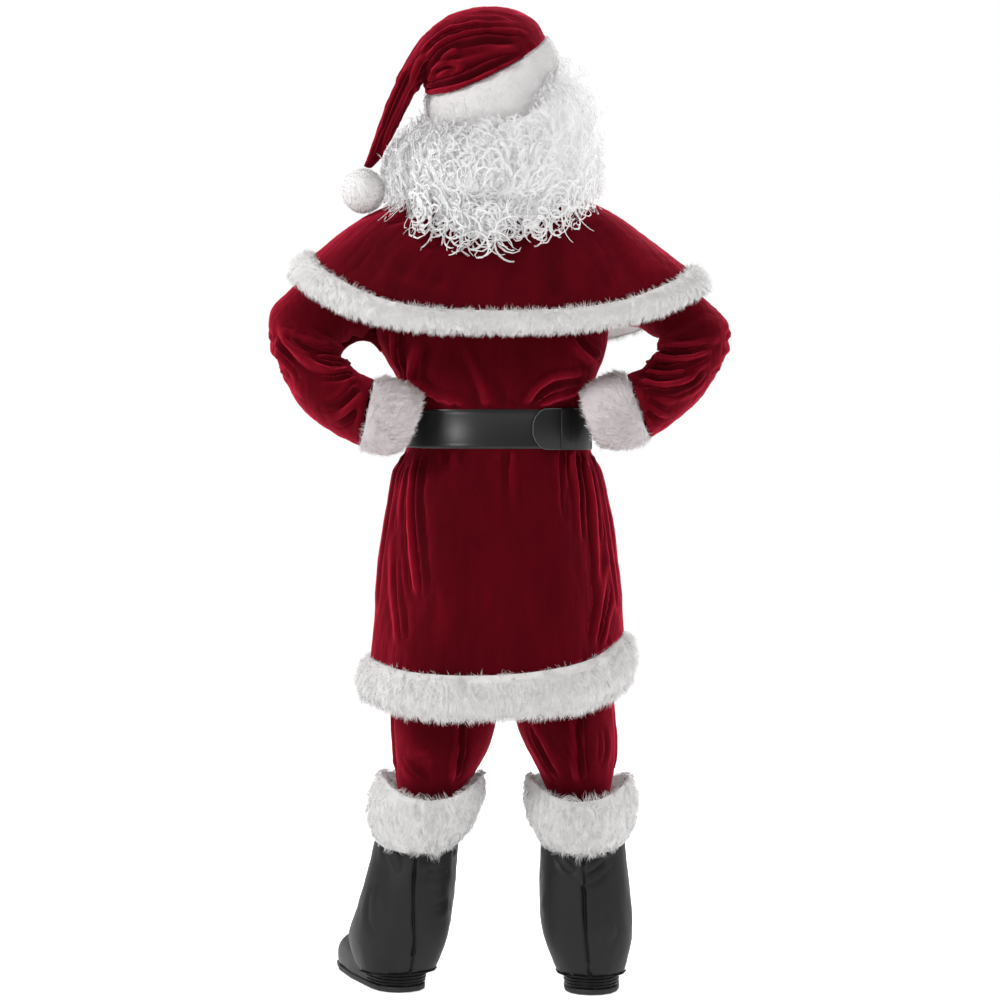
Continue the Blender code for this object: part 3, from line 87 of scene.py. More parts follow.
# ------------------------------------------------------------------ folds
# Each fold: (side it is seen from, half width, depth in cm, strength at its start and end, path).
# A depth above zero is a trough and below zero is a ridge. The path is in centimetres: across
# (X from behind or in front, Y from a side) and the height above the floor.
COAT_FOLDS = (
    # blouse above the belt, behind
    ("back", 0.9, -0.55, (0.6, 1.0), ((-14.2, 121), (-15.4, 116), (-16.0, 112.5), (-13.3, 110.7))),
    ("back", 1.0, 0.45, (0.6, 0.8), ((-12.3, 120), (-13.2, 116), (-13.8, 112.8))),
    ("back", 0.7, -0.50, (0.3, 1.0), ((-6.6, 120), (-4.3, 114.3), (-2.5, 110.2), (-2.2, 107.9))),
    ("back", 0.8, 0.40, (0.2, 1.0), ((-0.9, 114), (0.9, 109.5), (1.3, 107.8))),
    ("back", 0.8, -0.55, (0.8, 0.8), ((12.2, 120.4), (15.1, 117.4), (18.2, 115.2))),
    ("back", 1.0, 0.60, (0.7, 0.9), ((13.8, 121), (16.8, 118.3), (19.2, 117.0))),
    ("back", 0.9, 0.70, (0.6, 1.0), ((17.2, 112.6), (11.2, 111.6), (8.5, 110.5), (6.8, 108.3))),
    ("back", 0.7, -0.45, (0.5, 0.9), ((15.6, 113.8), (9.6, 113.1), (7.2, 111.0), (5.2, 108.4))),
    ("back", 0.8, -0.55, (0.8, 0.6), ((-16.8, 112.4), (-10.4, 109.2), (-5.0, 108.1))),
    ("back", 0.7, 0.45, (0.8, 0.4), ((-15.8, 110.6), (-11.0, 108.1))),
    ("back", 0.8, 0.55, (0.9, 0.5), ((-17.4, 121.2), (-18.0, 118), (-17.2, 113.4))),
    ("back", 0.7, -0.45, (0.9, 0.5), ((-19.0, 121), (-18.9, 117), (-18.1, 113.6))),
    ("back", 0.7, -0.50, (0.7, 0.9), ((15.9, 111.4), (11.2, 109.5), (6.9, 108.1))),
    ("back", 0.5, 0.35, (0.3, 1.0), ((-12.4, 110.2), (-11.3, 107.9))),
    ("back", 0.5, 0.30, (0.3, 1.0), ((-8.2, 110.0), (-7.6, 107.9))),
    ("back", 0.5, 0.35, (0.2, 1.0), ((2.2, 110.6), (2.8, 107.9))),
    ("back", 0.5, 0.35, (0.3, 1.0), ((13.6, 110.2), (14.6, 107.9))),
    ("back", 2.0, 0.12, (0.5, 0.5), ((4.0, 122), (5.5, 117), (6.0, 113))),
    ("back", 1.8, 0.10, (0.5, 0.5), ((-8.6, 121), (-9.2, 116), (-8.0, 112))),
    # skirt, behind
    ("back", 0.8, -0.45, (0.7, 0.4), ((-16.2, 99.0), (-17.6, 92.7), (-18.2, 86.0))),
    ("back", 0.8, -0.55, (0.7, 1.0), ((-15.0, 99.6), (-16.0, 91.0), (-15.4, 82.0), (-14.4, 74.5))),
    ("back", 1.2, 0.38, (0.8, 0.3), ((-13.8, 99.6), (-14.6, 92.7), (-13.8, 85.5), (-12.8, 73.0))),
    ("back", 0.9, 0.28, (0.6, 0.3), ((-17.2, 98.0), (-18.0, 91), (-18.9, 84))),
    ("back", 0.8, -0.40, (0.3, 0.8), ((-19.6, 84.0), (-19.1, 74.7), (-18.2, 64.8))),
    ("back", 1.0, 0.30, (0.3, 0.8), ((-18.4, 82.0), (-17.8, 74.0), (-16.7, 65.0))),
    ("back", 0.6, 0.50, (1.0, 0.1), ((1.6, 100.0), (1.4, 94.5), (1.7, 88.0))),
    ("back", 0.6, -0.40, (0.9, 0.1), ((2.7, 100.0), (2.7, 94.0), (2.9, 88.0))),
    ("back", 0.5, 0.30, (0.5, 0.1), ((4.2, 96.0), (3.8, 89.0))),
    ("back", 0.5, 0.35, (1.0, 0.1), ((-9.4, 100.0), (-9.8, 95.5))),
    ("back", 0.5, 0.30, (1.0, 0.1), ((-6.4, 100.0), (-6.8, 96.0))),
    ("back", 0.5, -0.30, (1.0, 0.1), ((-7.9, 100.0), (-8.3, 95.0))),
    ("back", 0.7, -0.50, (0.9, 0.2), ((13.2, 100.0), (14.2, 92.7), (14.7, 83.0))),
    ("back", 0.7, 0.45, (1.0, 0.1), ((11.9, 100.0), (11.8, 91.0), (12.4, 86.0))),
    ("back", 0.7, 0.40, (0.9, 0.4), ((14.6, 99.5), (15.4, 91.0), (15.6, 83.0))),
    ("back", 0.9, -0.55, (0.8, 0.5), ((15.8, 99.5), (17.2, 91.0), (17.8, 80.0), (18.3, 72.0))),
    ("back", 0.9, 0.36, (0.8, 0.4), ((16.9, 98.5), (18.8, 90.0), (19.4, 82.0))),
    ("back", 0.8, -0.38, (0.3, 1.0), ((20.2, 82.0), (18.9, 74.7), (17.2, 65.5))),
    ("back", 0.7, 0.38, (0.3, 1.0), ((20.7, 76.5), (18.4, 65.5))),
    ("back", 0.7, -0.32, (0.3, 1.0), ((21.2, 73.5), (19.5, 67.5), (18.8, 64.8))),
    ("back", 2.4, 0.12, (0.2, 0.8), ((7.6, 92.0), (8.6, 78.0), (9.4, 64.0))),
    ("back", 2.4, -0.10, (0.2, 0.8), ((3.4, 86.0), (2.2, 74.0), (1.4, 62.5))),
    ("back", 2.2, 0.12, (0.2, 0.7), ((-5.4, 90.0), (-5.8, 76.0), (-6.6, 62.5))),
    ("back", 1.6, -0.09, (0.2, 0.7), ((-10.2, 84.0), (-10.0, 72.0), (-11.2, 62.5))),
    # the same cloth, in front and at the sides
    ("front", 0.8, 0.50, (0.4, 1.0), ((-9.5, 116.0), (-8.2, 111.5), (-7.4, 107.9))),
    ("front", 0.8, -0.50, (0.4, 1.0), ((-12.2, 118.0), (-10.8, 112.5), (-9.4, 108.2))),
    ("front", 0.8, 0.50, (0.4, 1.0), ((9.6, 117.0), (8.4, 112.0), (7.0, 107.9))),
    ("front", 0.8, -0.45, (0.4, 1.0), ((12.8, 118.5), (11.4, 112.5), (10.2, 108.2))),
    ("front", 0.6, 0.40, (0.2, 1.0), ((-3.4, 112.0), (-3.6, 107.9))),
    ("front", 0.6, 0.40, (0.2, 1.0), ((4.0, 112.5), (3.6, 107.9))),
    ("front", 1.0, 0.55, (0.9, 0.4), ((-13.4, 99.5), (-14.2, 88.0), (-13.2, 74.0))),
    ("front", 0.9, -0.50, (0.8, 0.5), ((-10.4, 99.8), (-11.6, 88.0), (-11.4, 70.0))),
    ("front", 1.0, 0.50, (0.9, 0.3), ((-4.6, 99.8), (-5.6, 88.0), (-5.0, 74.0))),
    ("front", 1.0, 0.55, (0.9, 0.4), ((12.8, 99.5), (14.0, 88.0), (13.6, 72.0))),
    ("front", 0.9, -0.50, (0.8, 0.5), ((10.0, 99.8), (10.8, 88.0), (11.6, 70.0))),
    ("front", 1.0, 0.50, (0.9, 0.3), ((5.0, 99.8), (5.6, 88.0), (4.8, 74.0))),
    ("right", 0.9, 0.55, (0.9, 0.6), ((-3.0, 99.5), (-4.4, 86.0), (-4.8, 70.0))),
    ("right", 0.9, -0.50, (0.8, 0.6), ((0.4, 99.5), (0.2, 84.0), (0.8, 70.0))),
    ("right", 0.9, 0.50, (0.9, 0.6), ((4.2, 99.5), (5.6, 86.0), (5.2, 70.0))),
    ("right", 0.8, 0.50, (0.3, 1.0), ((-2.4, 116.0), (-1.6, 108.0))),
    ("right", 0.8, -0.45, (0.3, 1.0), ((3.6, 117.0), (3.0, 108.2))),
    ("left", 0.9, 0.55, (0.9, 0.6), ((-2.6, 99.5), (-3.8, 86.0), (-4.4, 70.0))),
    ("left", 0.9, -0.50, (0.8, 0.6), ((0.8, 99.5), (0.4, 84.0), (0.2, 70.0))),
    ("left", 0.9, 0.50, (0.9, 0.6), ((4.6, 99.5), (5.2, 86.0), (5.8, 70.0))),
    ("left", 0.8, 0.50, (0.3, 1.0), ((-2.0, 117.0), (-1.4, 108.0))),
    ("left", 0.8, -0.45, (0.3, 1.0), ((4.0, 116.0), (3.2, 108.2))),
)
SLEEVE_FOLDS = (
    # left sleeve, behind
    ("back", 0.7, -0.55, (0.7, 0.3), ((-40.4, 122.4), (-37.4, 120.5), (-33.8, 119.2), (-29.3, 118.2))),
    ("back", 0.6, 0.60, (0.8, 0.4), ((-39.2, 121.0), (-35.6, 119.2), (-31.5, 117.5), (-28.3, 117.4))),
    ("back", 0.8, 0.80, (1.0, 0.5), ((-40.4, 119.8), (-38.0, 117.2), (-36.2, 115.3))),
    ("back", 0.8, -0.65, (0.9, 0.8), ((-39.4, 120.6), (-36.7, 117.7), (-33.5, 115.1), (-29.4, 113.8))),
    ("back", 0.7, -0.50, (1.0, 0.3), ((-40.0, 117.6), (-37.8, 114.6), (-36.0, 112.2))),
    ("back", 0.5, 0.55, (0.7, 0.5), ((-33.4, 116.2), (-30.4, 115.5), (-27.4, 115.6))),
    ("back", 0.5, -0.45, (0.7, 0.4), ((-32.4, 117.2), (-29.6, 116.5), (-27.2, 116.6))),
    ("back", 0.6, 0.60, (0.4, 1.0), ((-32.4, 113.0), (-28.8, 112.8), (-26.5, 113.6))),
    ("back", 0.5, -0.45, (0.3, 1.0), ((-32.8, 114.1), (-29.0, 113.9), (-26.9, 114.6))),
    ("back", 0.8, 0.60, (1.0, 0.3), ((-25.4, 111.6), (-26.8, 109.4), (-29.0, 107.8), (-32.8, 107.3))),
    ("back", 0.7, -0.50, (1.0, 0.4), ((-25.0, 109.6), (-26.6, 107.4), (-29.6, 105.4))),
    ("back", 0.7, 0.50, (1.0, 0.4), ((-25.6, 106.6), (-27.5, 104.9), (-30.2, 103.6))),
    ("back", 0.6, -0.35, (0.6, 0.6), ((-24.4, 111.0), (-24.9, 106.0), (-25.7, 102.4))),
    ("back", 1.2, -0.40, (0.3, 0.9), ((-33.0, 110.6), (-36.2, 110.9), (-37.4, 111.4))),
    # right sleeve, behind
    ("back", 0.6, 0.65, (1.0, 0.6), ((29.2, 118.0), (31.3, 117.3), (34.8, 117.8), (39.2, 119.4))),
    ("back", 0.7, -0.55, (1.0, 0.6), ((29.2, 119.4), (32.8, 118.5), (37.3, 119.0), (40.6, 120.5))),
    ("back", 0.6, -0.50, (0.9, 0.6), ((28.4, 116.8), (31.0, 116.2), (36.0, 116.8), (39.0, 118.0))),
    ("back", 0.6, 0.60, (1.0, 0.6), ((27.2, 114.8), (30.6, 114.6), (34.8, 115.3), (38.7, 117.4))),
    ("back", 0.5, -0.45, (1.0, 0.3), ((26.9, 113.9), (30.2, 113.6), (34.4, 114.2))),
    ("back", 0.6, 0.55, (1.0, 0.4), ((26.1, 113.2), (29.2, 112.6), (32.8, 113.2), (36.4, 114.8))),
    ("back", 0.6, -0.50, (1.0, 0.5), ((25.8, 112.3), (28.8, 111.4), (32.8, 111.8), (36.6, 113.4))),
    ("back", 0.8, 0.70, (0.9, 0.7), ((26.4, 111.0), (30.0, 110.1), (34.6, 111.3), (38.0, 114.4))),
    ("back", 0.7, 0.45, (1.0, 0.3), ((26.8, 109.4), (29.0, 107.6), (31.6, 107.0))),
    ("back", 0.7, -0.45, (0.8, 0.4), ((26.2, 108.4), (28.6, 106.2), (31.6, 105.7))),
    ("back", 0.7, 0.50, (1.0, 0.3), ((26.5, 107.2), (29.5, 104.9), (32.0, 104.6))),
    ("back", 0.6, -0.40, (0.8, 0.6), ((24.7, 111.4), (25.6, 108.0), (27.2, 104.0))),
    ("back", 1.6, -0.35, (0.6, 0.6), ((36.0, 124.0), (39.4, 122.8), (41.6, 121.0))),
    # both, in front and outside
    ("front", 0.7, 0.60, (0.9, 0.6), ((-28.2, 117.2), (-33.0, 117.4), (-38.6, 119.8))),
    ("front", 0.7, -0.50, (0.9, 0.6), ((-28.4, 118.6), (-33.4, 118.9), (-39.0, 121.6))),
    ("front", 0.7, 0.60, (1.0, 0.5), ((-26.6, 114.2), (-31.4, 113.8), (-36.6, 115.6))),
    ("front", 0.7, -0.50, (1.0, 0.5), ((-27.0, 115.6), (-31.8, 115.4), (-37.6, 117.4))),
    ("front", 0.7, 0.50, (1.0, 0.4), ((-25.6, 111.0), (-28.8, 108.8), (-33.4, 108.2))),
    ("front", 0.7, 0.60, (0.9, 0.6), ((28.6, 117.4), (33.4, 117.6), (38.8, 120.0))),
    ("front", 0.7, -0.50, (0.9, 0.6), ((28.8, 118.8), (33.8, 119.0), (39.2, 121.8))),
    ("front", 0.7, 0.60, (1.0, 0.5), ((27.0, 114.6), (31.8, 114.0), (36.8, 115.8))),
    ("front", 0.7, -0.50, (1.0, 0.5), ((27.2, 115.9), (32.0, 115.6), (37.8, 117.6))),
    ("front", 0.7, 0.50, (1.0, 0.4), ((26.2, 111.2), (29.2, 108.8), (33.8, 108.4))),
    ("left", 0.8, 0.55, (0.5, 0.8), ((-1.0, 123.0), (-5.0, 121.2), (-9.6, 119.6))),
    ("left", 0.8, -0.50, (0.5, 0.8), ((-0.4, 120.6), (-5.0, 118.4), (-10.2, 116.8))),
    ("left", 0.8, 0.50, (0.5, 0.8), ((-1.4, 117.4), (-5.8, 114.8), (-11.0, 113.0))),
    ("right", 0.8, 0.55, (0.5, 0.8), ((-1.0, 123.4), (-5.0, 121.6), (-9.6, 120.0))),
    ("right", 0.8, -0.50, (0.5, 0.8), ((-0.4, 121.0), (-5.0, 118.8), (-10.2, 117.2))),
    ("right", 0.8, 0.50, (0.5, 0.8), ((-1.4, 117.8), (-5.8, 115.2), (-11.0, 113.4))),
)
CAPE_FOLDS = (
    ("back", 1.8, 0.19, (0.2, 1.0), ((8.6, 140.5), (9.8, 134.0), (11.0, 126.8))),
    ("back", 1.4, -0.17, (0.2, 1.0), ((11.4, 140.5), (12.9, 134.0), (14.0, 127.2))),
    ("back", 1.6, 0.19, (0.3, 1.0), ((15.4, 141.5), (17.8, 135.0), (20.0, 128.4))),
    ("back", 1.8, -0.19, (0.3, 0.9), ((19.6, 142.0), (23.8, 136.0), (27.4, 131.0))),
    ("back", 1.4, 0.15, (0.3, 0.9), ((23.4, 141.6), (28.0, 136.6), (31.2, 133.2))),
    ("back", 1.8, 0.14, (0.2, 0.9), ((1.0, 137.0), (2.2, 131.0), (2.6, 126.2))),
    ("back", 1.6, -0.12, (0.2, 0.9), ((-3.2, 136.0), (-3.6, 131.0), (-3.8, 126.4))),
    ("back", 1.6, 0.15, (0.2, 0.9), ((-8.6, 137.6), (-11.0, 132.0), (-12.8, 127.2))),
    ("back", 1.6, -0.15, (0.3, 0.9), ((-15.2, 140.8), (-18.6, 134.4), (-21.0, 129.4))),
    ("back", 1.5, 0.17, (0.3, 0.9), ((-19.8, 142.2), (-23.8, 136.6), (-26.6, 131.6))),
    ("back", 0.9, -0.25, (0.4, 0.4), ((-21.0, 131.0), (-14.0, 129.0), (-7.0, 128.0))),
    ("back", 0.6, 0.30, (0.9, 0.2), ((-12.6, 143.6), (-17.4, 141.4), (-21.6, 140.8))),
    ("front", 1.6, 0.17, (0.2, 1.0), ((-9.0, 139.0), (-11.0, 132.0), (-12.6, 124.6))),
    ("front", 1.5, -0.15, (0.2, 1.0), ((-13.6, 140.4), (-16.8, 134.0), (-18.8, 127.4))),
    ("front", 1.5, 0.17, (0.2, 1.0), ((-19.0, 141.4), (-23.4, 135.6), (-26.0, 130.6))),
    ("front", 1.6, 0.17, (0.2, 1.0), ((9.2, 139.4), (11.4, 132.0), (12.8, 124.6))),
    ("front", 1.5, -0.15, (0.2, 1.0), ((13.8, 140.6), (16.6, 134.0), (18.8, 127.4))),
    ("front", 1.5, 0.17, (0.2, 1.0), ((19.4, 141.2), (23.2, 135.6), (26.4, 130.4))),
    ("right", 1.6, 0.15, (0.2, 1.0), ((-4.0, 143.0), (-5.2, 137.0), (-6.4, 132.0))),
    ("right", 1.6, -0.14, (0.2, 1.0), ((2.0, 143.4), (2.6, 137.0), (3.2, 132.0))),
    ("left", 1.6, 0.15, (0.2, 1.0), ((-3.4, 144.0), (-4.6, 138.6), (-5.8, 134.6))),
    ("left", 1.6, -0.14, (0.2, 1.0), ((2.6, 144.0), (3.0, 138.6), (3.8, 134.6))),
)
TROUSER_FOLDS = (
    ("back", 0.7, 0.65, (0.6, 1.0), ((-6.2, 56.0), (-6.3, 50.0), (-6.3, 45.5), (-7.2, 40.4))),
    ("back", 0.6, -0.45, (0.6, 1.0), ((-7.4, 55.0), (-7.5, 49.0), (-7.7, 43.6), (-8.4, 40.0))),
    ("back", 0.7, -0.50, (0.4, 0.9), ((-17.4, 45.2), (-14.1, 45.3), (-11.7, 43.2))),
    ("back", 1.0, 0.45, (0.8, 0.7), ((-18.2, 42.9), (-14.4, 41.2), (-12.0, 39.0))),
    ("back", 0.7, -0.45, (0.8, 0.4), ((-18.6, 44.2), (-17.0, 41.4), (-13.6, 39.2))),
    ("back", 1.4, 0.14, (0.6, 0.4), ((-12.6, 54.0), (-12.0, 48.0), (-11.0, 45.0))),
    ("back", 0.7, 0.65, (0.7, 1.0), ((14.8, 56.0), (14.9, 50.0), (15.0, 45.4), (15.6, 40.0))),
    ("back", 0.6, -0.45, (0.7, 1.0), ((13.6, 55.0), (13.7, 49.0), (13.9, 43.0), (14.4, 40.0))),
    ("back", 0.7, -0.50, (0.8, 0.8), ((5.6, 51.2), (8.5, 46.6), (10.8, 41.2))),
    ("back", 0.8, 0.60, (0.8, 0.8), ((5.0, 49.2), (8.3, 43.9), (11.0, 39.4))),
    ("back", 0.6, -0.40, (0.6, 0.6), ((20.0, 50.0), (20.6, 46.0), (20.2, 42.4))),
    ("back", 0.7, 0.40, (0.6, 0.6), ((18.6, 50.4), (19.2, 46.0), (18.6, 42.0))),
    ("front", 0.8, 0.60, (0.5, 1.0), ((-7.0, 56.0), (-7.4, 48.0), (-8.4, 40.6))),
    ("front", 0.8, -0.50, (0.5, 1.0), ((-10.8, 56.0), (-11.0, 48.0), (-11.0, 40.6))),
    ("front", 0.8, 0.55, (0.5, 0.9), ((-18.0, 47.0), (-14.4, 43.4), (-12.4, 40.8))),
    ("front", 0.8, 0.60, (0.5, 1.0), ((13.0, 56.0), (13.4, 48.0), (13.6, 40.6))),
    ("front", 0.8, -0.50, (0.5, 1.0), ((16.6, 56.0), (16.6, 48.0), (16.0, 40.6))),
    ("front", 0.8, 0.55, (0.5, 0.9), ((5.4, 49.0), (8.6, 44.4), (11.0, 41.0))),
    ("right", 0.8, 0.50, (0.5, 0.9), ((-3.0, 54.0), (-2.6, 46.0), (-2.0, 41.0))),
    ("left", 0.8, 0.50, (0.5, 0.9), ((-3.4, 54.0), (-3.0, 46.0), (-2.2, 41.0))),
)
HAT_FOLDS = (
    ("back", 0.6, -0.50, (0.7, 0.6), ((-16.3, 166.0), (-13.2, 173.0), (-9.6, 176.3), (-4.2, 177.5),
                                      (4.0, 177.5))),
    ("back", 0.6, -0.50, (0.7, 0.6), ((-14.4, 170.0), (-10.5, 173.8), (-6.0, 175.7), (0.4, 176.6),
                                      (6.0, 175.9))),
    ("back", 0.5, 0.45, (0.8, 0.4), ((-14.6, 171.0), (-10.6, 175.0), (-5.1, 176.7), (2.0, 177.1))),
    ("back", 0.6, 0.50, (0.9, 0.4), ((-13.2, 169.6), (-9.6, 172.8), (-5.4, 174.6), (-1.0, 175.2),
                                     (4.0, 174.6))),
    ("back", 0.6, -0.40, (0.8, 0.3), ((-11.0, 170.8), (-6.0, 172.6), (-1.4, 172.8), (3.6, 172.0))),
    ("back", 0.5, -0.65, (0.9, 0.7), ((-11.6, 166.9), (-12.3, 168.3), (-11.0, 169.7), (-8.6, 170.2),
                                      (-6.6, 170.1), (-6.3, 169.0), (-7.4, 168.0), (-9.6, 167.4))),
    ("back", 0.45, 0.55, (0.9, 0.9), ((-10.7, 168.9), (-9.4, 169.3), (-7.9, 169.2))),
    ("back", 0.7, 0.90, (0.9, 0.5), ((-13.4, 166.6), (-9.8, 166.6), (-5.6, 167.6), (-1.4, 169.6),
                                     (3.4, 172.0))),
    ("back", 0.6, -0.55, (1.0, 0.5), ((-13.2, 165.6), (-8.7, 165.3), (-3.3, 166.5), (0.6, 168.2),
                                      (4.4, 170.4))),
    ("back", 0.4, 0.35, (1.0, 0.3), ((-13.0, 164.8), (-9.0, 164.5), (-4.0, 165.5))),
    ("back", 0.7, 0.80, (0.6, 0.9), ((-13.6, 170.6), (-13.4, 168.0), (-14.0, 165.4))),
    ("back", 0.5, -0.45, (0.8, 0.8), ((-15.4, 168.0), (-17.6, 163.8), (-19.4, 160.0), (-20.6, 157.0),
                                      (-22.2, 151.6))),
    ("back", 0.5, -0.40, (0.8, 0.6), ((-16.6, 169.8), (-18.5, 165.3), (-20.3, 161.0), (-21.4, 157.4))),
    ("back", 0.5, 0.45, (0.8, 0.7), ((-16.0, 168.6), (-18.1, 164.4), (-19.9, 160.4), (-21.2, 156.4),
                                     (-22.4, 153.0))),
    ("back", 0.6, 0.45, (0.5, 0.8), ((-15.4, 164.0), (-17.0, 161.2), (-19.2, 157.6))),
    ("back", 0.5, -0.30, (0.8, 0.5), ((5.4, 175.0), (7.6, 172.6))),
    ("back", 0.6, 0.30, (0.6, 0.6), ((-6.0, 179.6), (0.0, 180.0), (5.0, 178.6))),
    ("front", 0.7, -0.50, (0.7, 0.6), ((-14.6, 169.6), (-9.4, 174.0), (-3.0, 176.0), (4.0, 176.0))),
    ("front", 0.7, 0.55, (0.7, 0.6), ((-14.4, 167.8), (-8.6, 172.0), (-2.4, 174.2), (4.0, 174.4))),
    ("front", 0.7, -0.50, (0.8, 0.6), ((-13.6, 166.4), (-7.6, 169.6), (-1.4, 171.8), (4.4, 172.6))),
    ("front", 0.5, 0.45, (0.8, 0.7), ((-16.0, 168.0), (-18.4, 163.6), (-20.4, 158.6), (-22.2, 153.4))),
    ("front", 0.5, -0.45, (0.8, 0.7), ((-17.4, 168.4), (-19.4, 163.6), (-21.2, 158.6))),
    ("left", 0.6, 0.50, (0.6, 0.8), ((-3.6, 178.0), (-3.6, 172.0), (-3.9, 166.0))),
)
BOOT_FOLDS = (
    ("back", 0.5, -0.33, (0.8, 0.8), ((-14.6, 23.4), (-12.0, 23.9), (-9.0, 23.5))),
    ("back", 0.7, 0.45, (0.8, 0.9), ((-14.4, 22.3), (-11.8, 22.7), (-8.8, 22.3))),
    ("back", 0.7, -0.30, (0.5, 1.0), ((-12.6, 17.2), (-10.8, 17.6), (-9.0, 18.4))),
    ("back", 0.8, 0.38, (0.5, 1.0), ((-12.8, 16.1), (-10.8, 16.4), (-9.3, 17.1))),
    ("back", 1.0, 0.52, (0.9, 0.4), ((-20.6, 29.0), (-19.0, 26.0), (-17.6, 22.0))),
    ("back", 1.6, 0.45, (0.6, 0.6), ((-22.4, 22.0), (-22.8, 16.0), (-22.0, 11.0))),
    ("back", 0.6, -0.36, (0.8, 0.9), ((9.6, 25.2), (11.4, 23.2), (13.4, 21.8))),
    ("back", 0.8, 0.51, (0.8, 0.9), ((9.8, 26.6), (12.0, 24.6), (13.9, 23.6))),
    ("back", 0.7, -0.36, (0.9, 0.7), ((15.8, 23.4), (18.4, 25.4), (20.8, 27.8))),
    ("back", 0.9, 0.45, (0.9, 0.7), ((15.8, 21.6), (18.8, 23.4), (21.4, 26.0))),
    ("back", 1.6, 0.45, (0.5, 0.5), ((19.8, 18.0), (20.8, 13.0), (20.0, 8.0))),
    ("front", 0.9, 0.30, (0.7, 0.5), ((11.8, 18.4), (13.0, 17.8), (14.2, 17.6))),
    ("front", 0.9, 0.30, (0.5, 0.7), ((19.2, 17.4), (20.4, 17.8), (21.6, 18.6))),
)


# ------------------------------------------------------------------ sizes and colours
class VelvetSettings(bpy.types.PropertyGroup):
    """The cloth of the coat, cape, trousers and hat."""
    deep: bpy.props.FloatVectorProperty(
        name="Deep", description="Colour between the lit threads", subtype="COLOR",
        default=(0.032, 0.0004, 0.0018))
    lit: bpy.props.FloatVectorProperty(
        name="Lit", description="Colour of the lit threads", subtype="COLOR",
        default=(0.060, 0.0007, 0.0032))
    # painted highlight: the colour that raised folds are painted
    raised: bpy.props.FloatVectorProperty(
        name="Raised", description="Colour of the pile along a raised fold", subtype="COLOR",
        default=(0.125, 0.0024, 0.0080))
    # the sheen's colour at glancing angles; the sheen is made stronger where the folds are painted lighter
    fold_light_and_sheen: bpy.props.FloatVectorProperty(
        name="Nap", description="Colour of the pile seen from its side", subtype="COLOR",
        default=(0.50, 0.020, 0.050))
    sheen: bpy.props.FloatVectorProperty(
        name="Sheen", description="Tint of the nap at a glancing angle", subtype="COLOR",
        default=(1.0, 0.075, 0.15))
    fold_strength: bpy.props.FloatProperty(
        name="Fold strength", description="How deep the folds are pressed", default=1.75, min=0.0, max=2.5)
    ripple: bpy.props.FloatProperty(
        name="Ripple", description="Height of the small unevenness", default=0.0007, unit="LENGTH")
    seam_tuck: bpy.props.FloatProperty(
        name="Seam tuck", description="How far the cloth dips at a seam", default=0.0008, unit="LENGTH")


class FurSettings(bpy.types.PropertyGroup):
    """The bands of fur and the pompom."""
    colour: bpy.props.FloatVectorProperty(
        name="Colour", description="Colour of the tips", subtype="COLOR", default=(0.955, 0.950, 0.945))
    # painted shade: the pile's colour at its root, where shade falls between the tufts
    root: bpy.props.FloatVectorProperty(
        name="Root", description="Colour at the skin", subtype="COLOR", default=(0.86, 0.855, 0.85))
    cape_length: bpy.props.FloatProperty(
        name="Cape pile", description="Length of the cape's fur", default=0.016, unit="LENGTH")
    hem_length: bpy.props.FloatProperty(
        name="Hem pile", description="Length of the hem's fur", default=0.019, unit="LENGTH")
    cuff_length: bpy.props.FloatProperty(
        name="Cuff pile", description="Length of the cuffs' fur", default=0.014, unit="LENGTH")
    boot_length: bpy.props.FloatProperty(
        name="Boot pile", description="Length of the boots' fur", default=0.020, unit="LENGTH")
    band_length: bpy.props.FloatProperty(
        name="Hat band pile", description="Length of the hat band's plush", default=0.0045, unit="LENGTH")
    pompom_length: bpy.props.FloatProperty(
        name="Pompom pile", description="Length of the pompom's pile", default=0.006, unit="LENGTH")
    blade: bpy.props.FloatProperty(
        name="Blade width", description="Width of a tuft at its root", default=0.0009, unit="LENGTH")


class WigSettings(bpy.types.PropertyGroup):
    """The curls under the hat."""
    colour: bpy.props.FloatVectorProperty(
        name="Colour", description="Colour of the curls", subtype="COLOR", default=(0.84, 0.84, 0.84))
    locks: bpy.props.IntProperty(name="Locks", description="How many ringlets", default=1000)
    strands: bpy.props.IntProperty(name="Strands", description="Strands in a ringlet", default=5)
    width: bpy.props.FloatProperty(
        name="Strand width", description="Width of a strand at its root", default=0.0011, unit="LENGTH")
    curl: bpy.props.FloatProperty(
        name="Curl radius", description="Mean radius of a ringlet", default=0.0105, unit="LENGTH")
    pitch: bpy.props.FloatProperty(
        name="Pitch", description="Drop of one turn of a ringlet", default=0.030, unit="LENGTH")


class LeatherSettings(bpy.types.PropertyGroup):
    """The belt and the boots."""
    belt: bpy.props.FloatVectorProperty(
        name="Belt", description="Colour of the belt", subtype="COLOR", default=(0.0085, 0.0085, 0.0088))
    boot: bpy.props.FloatVectorProperty(
        name="Boot", description="Colour of the boots", subtype="COLOR", default=(0.0082, 0.0083, 0.0086))
    sole: bpy.props.FloatVectorProperty(
        name="Sole", description="Colour of the soles", subtype="COLOR", default=(0.010, 0.010, 0.010))
    stitch_step: bpy.props.FloatProperty(
        name="Stitch step", description="From one stitch to the next", default=0.0045, unit="LENGTH")
    welt: bpy.props.FloatProperty(
        name="Welt", description="Radius of the boots' piping", default=0.0016, unit="LENGTH")


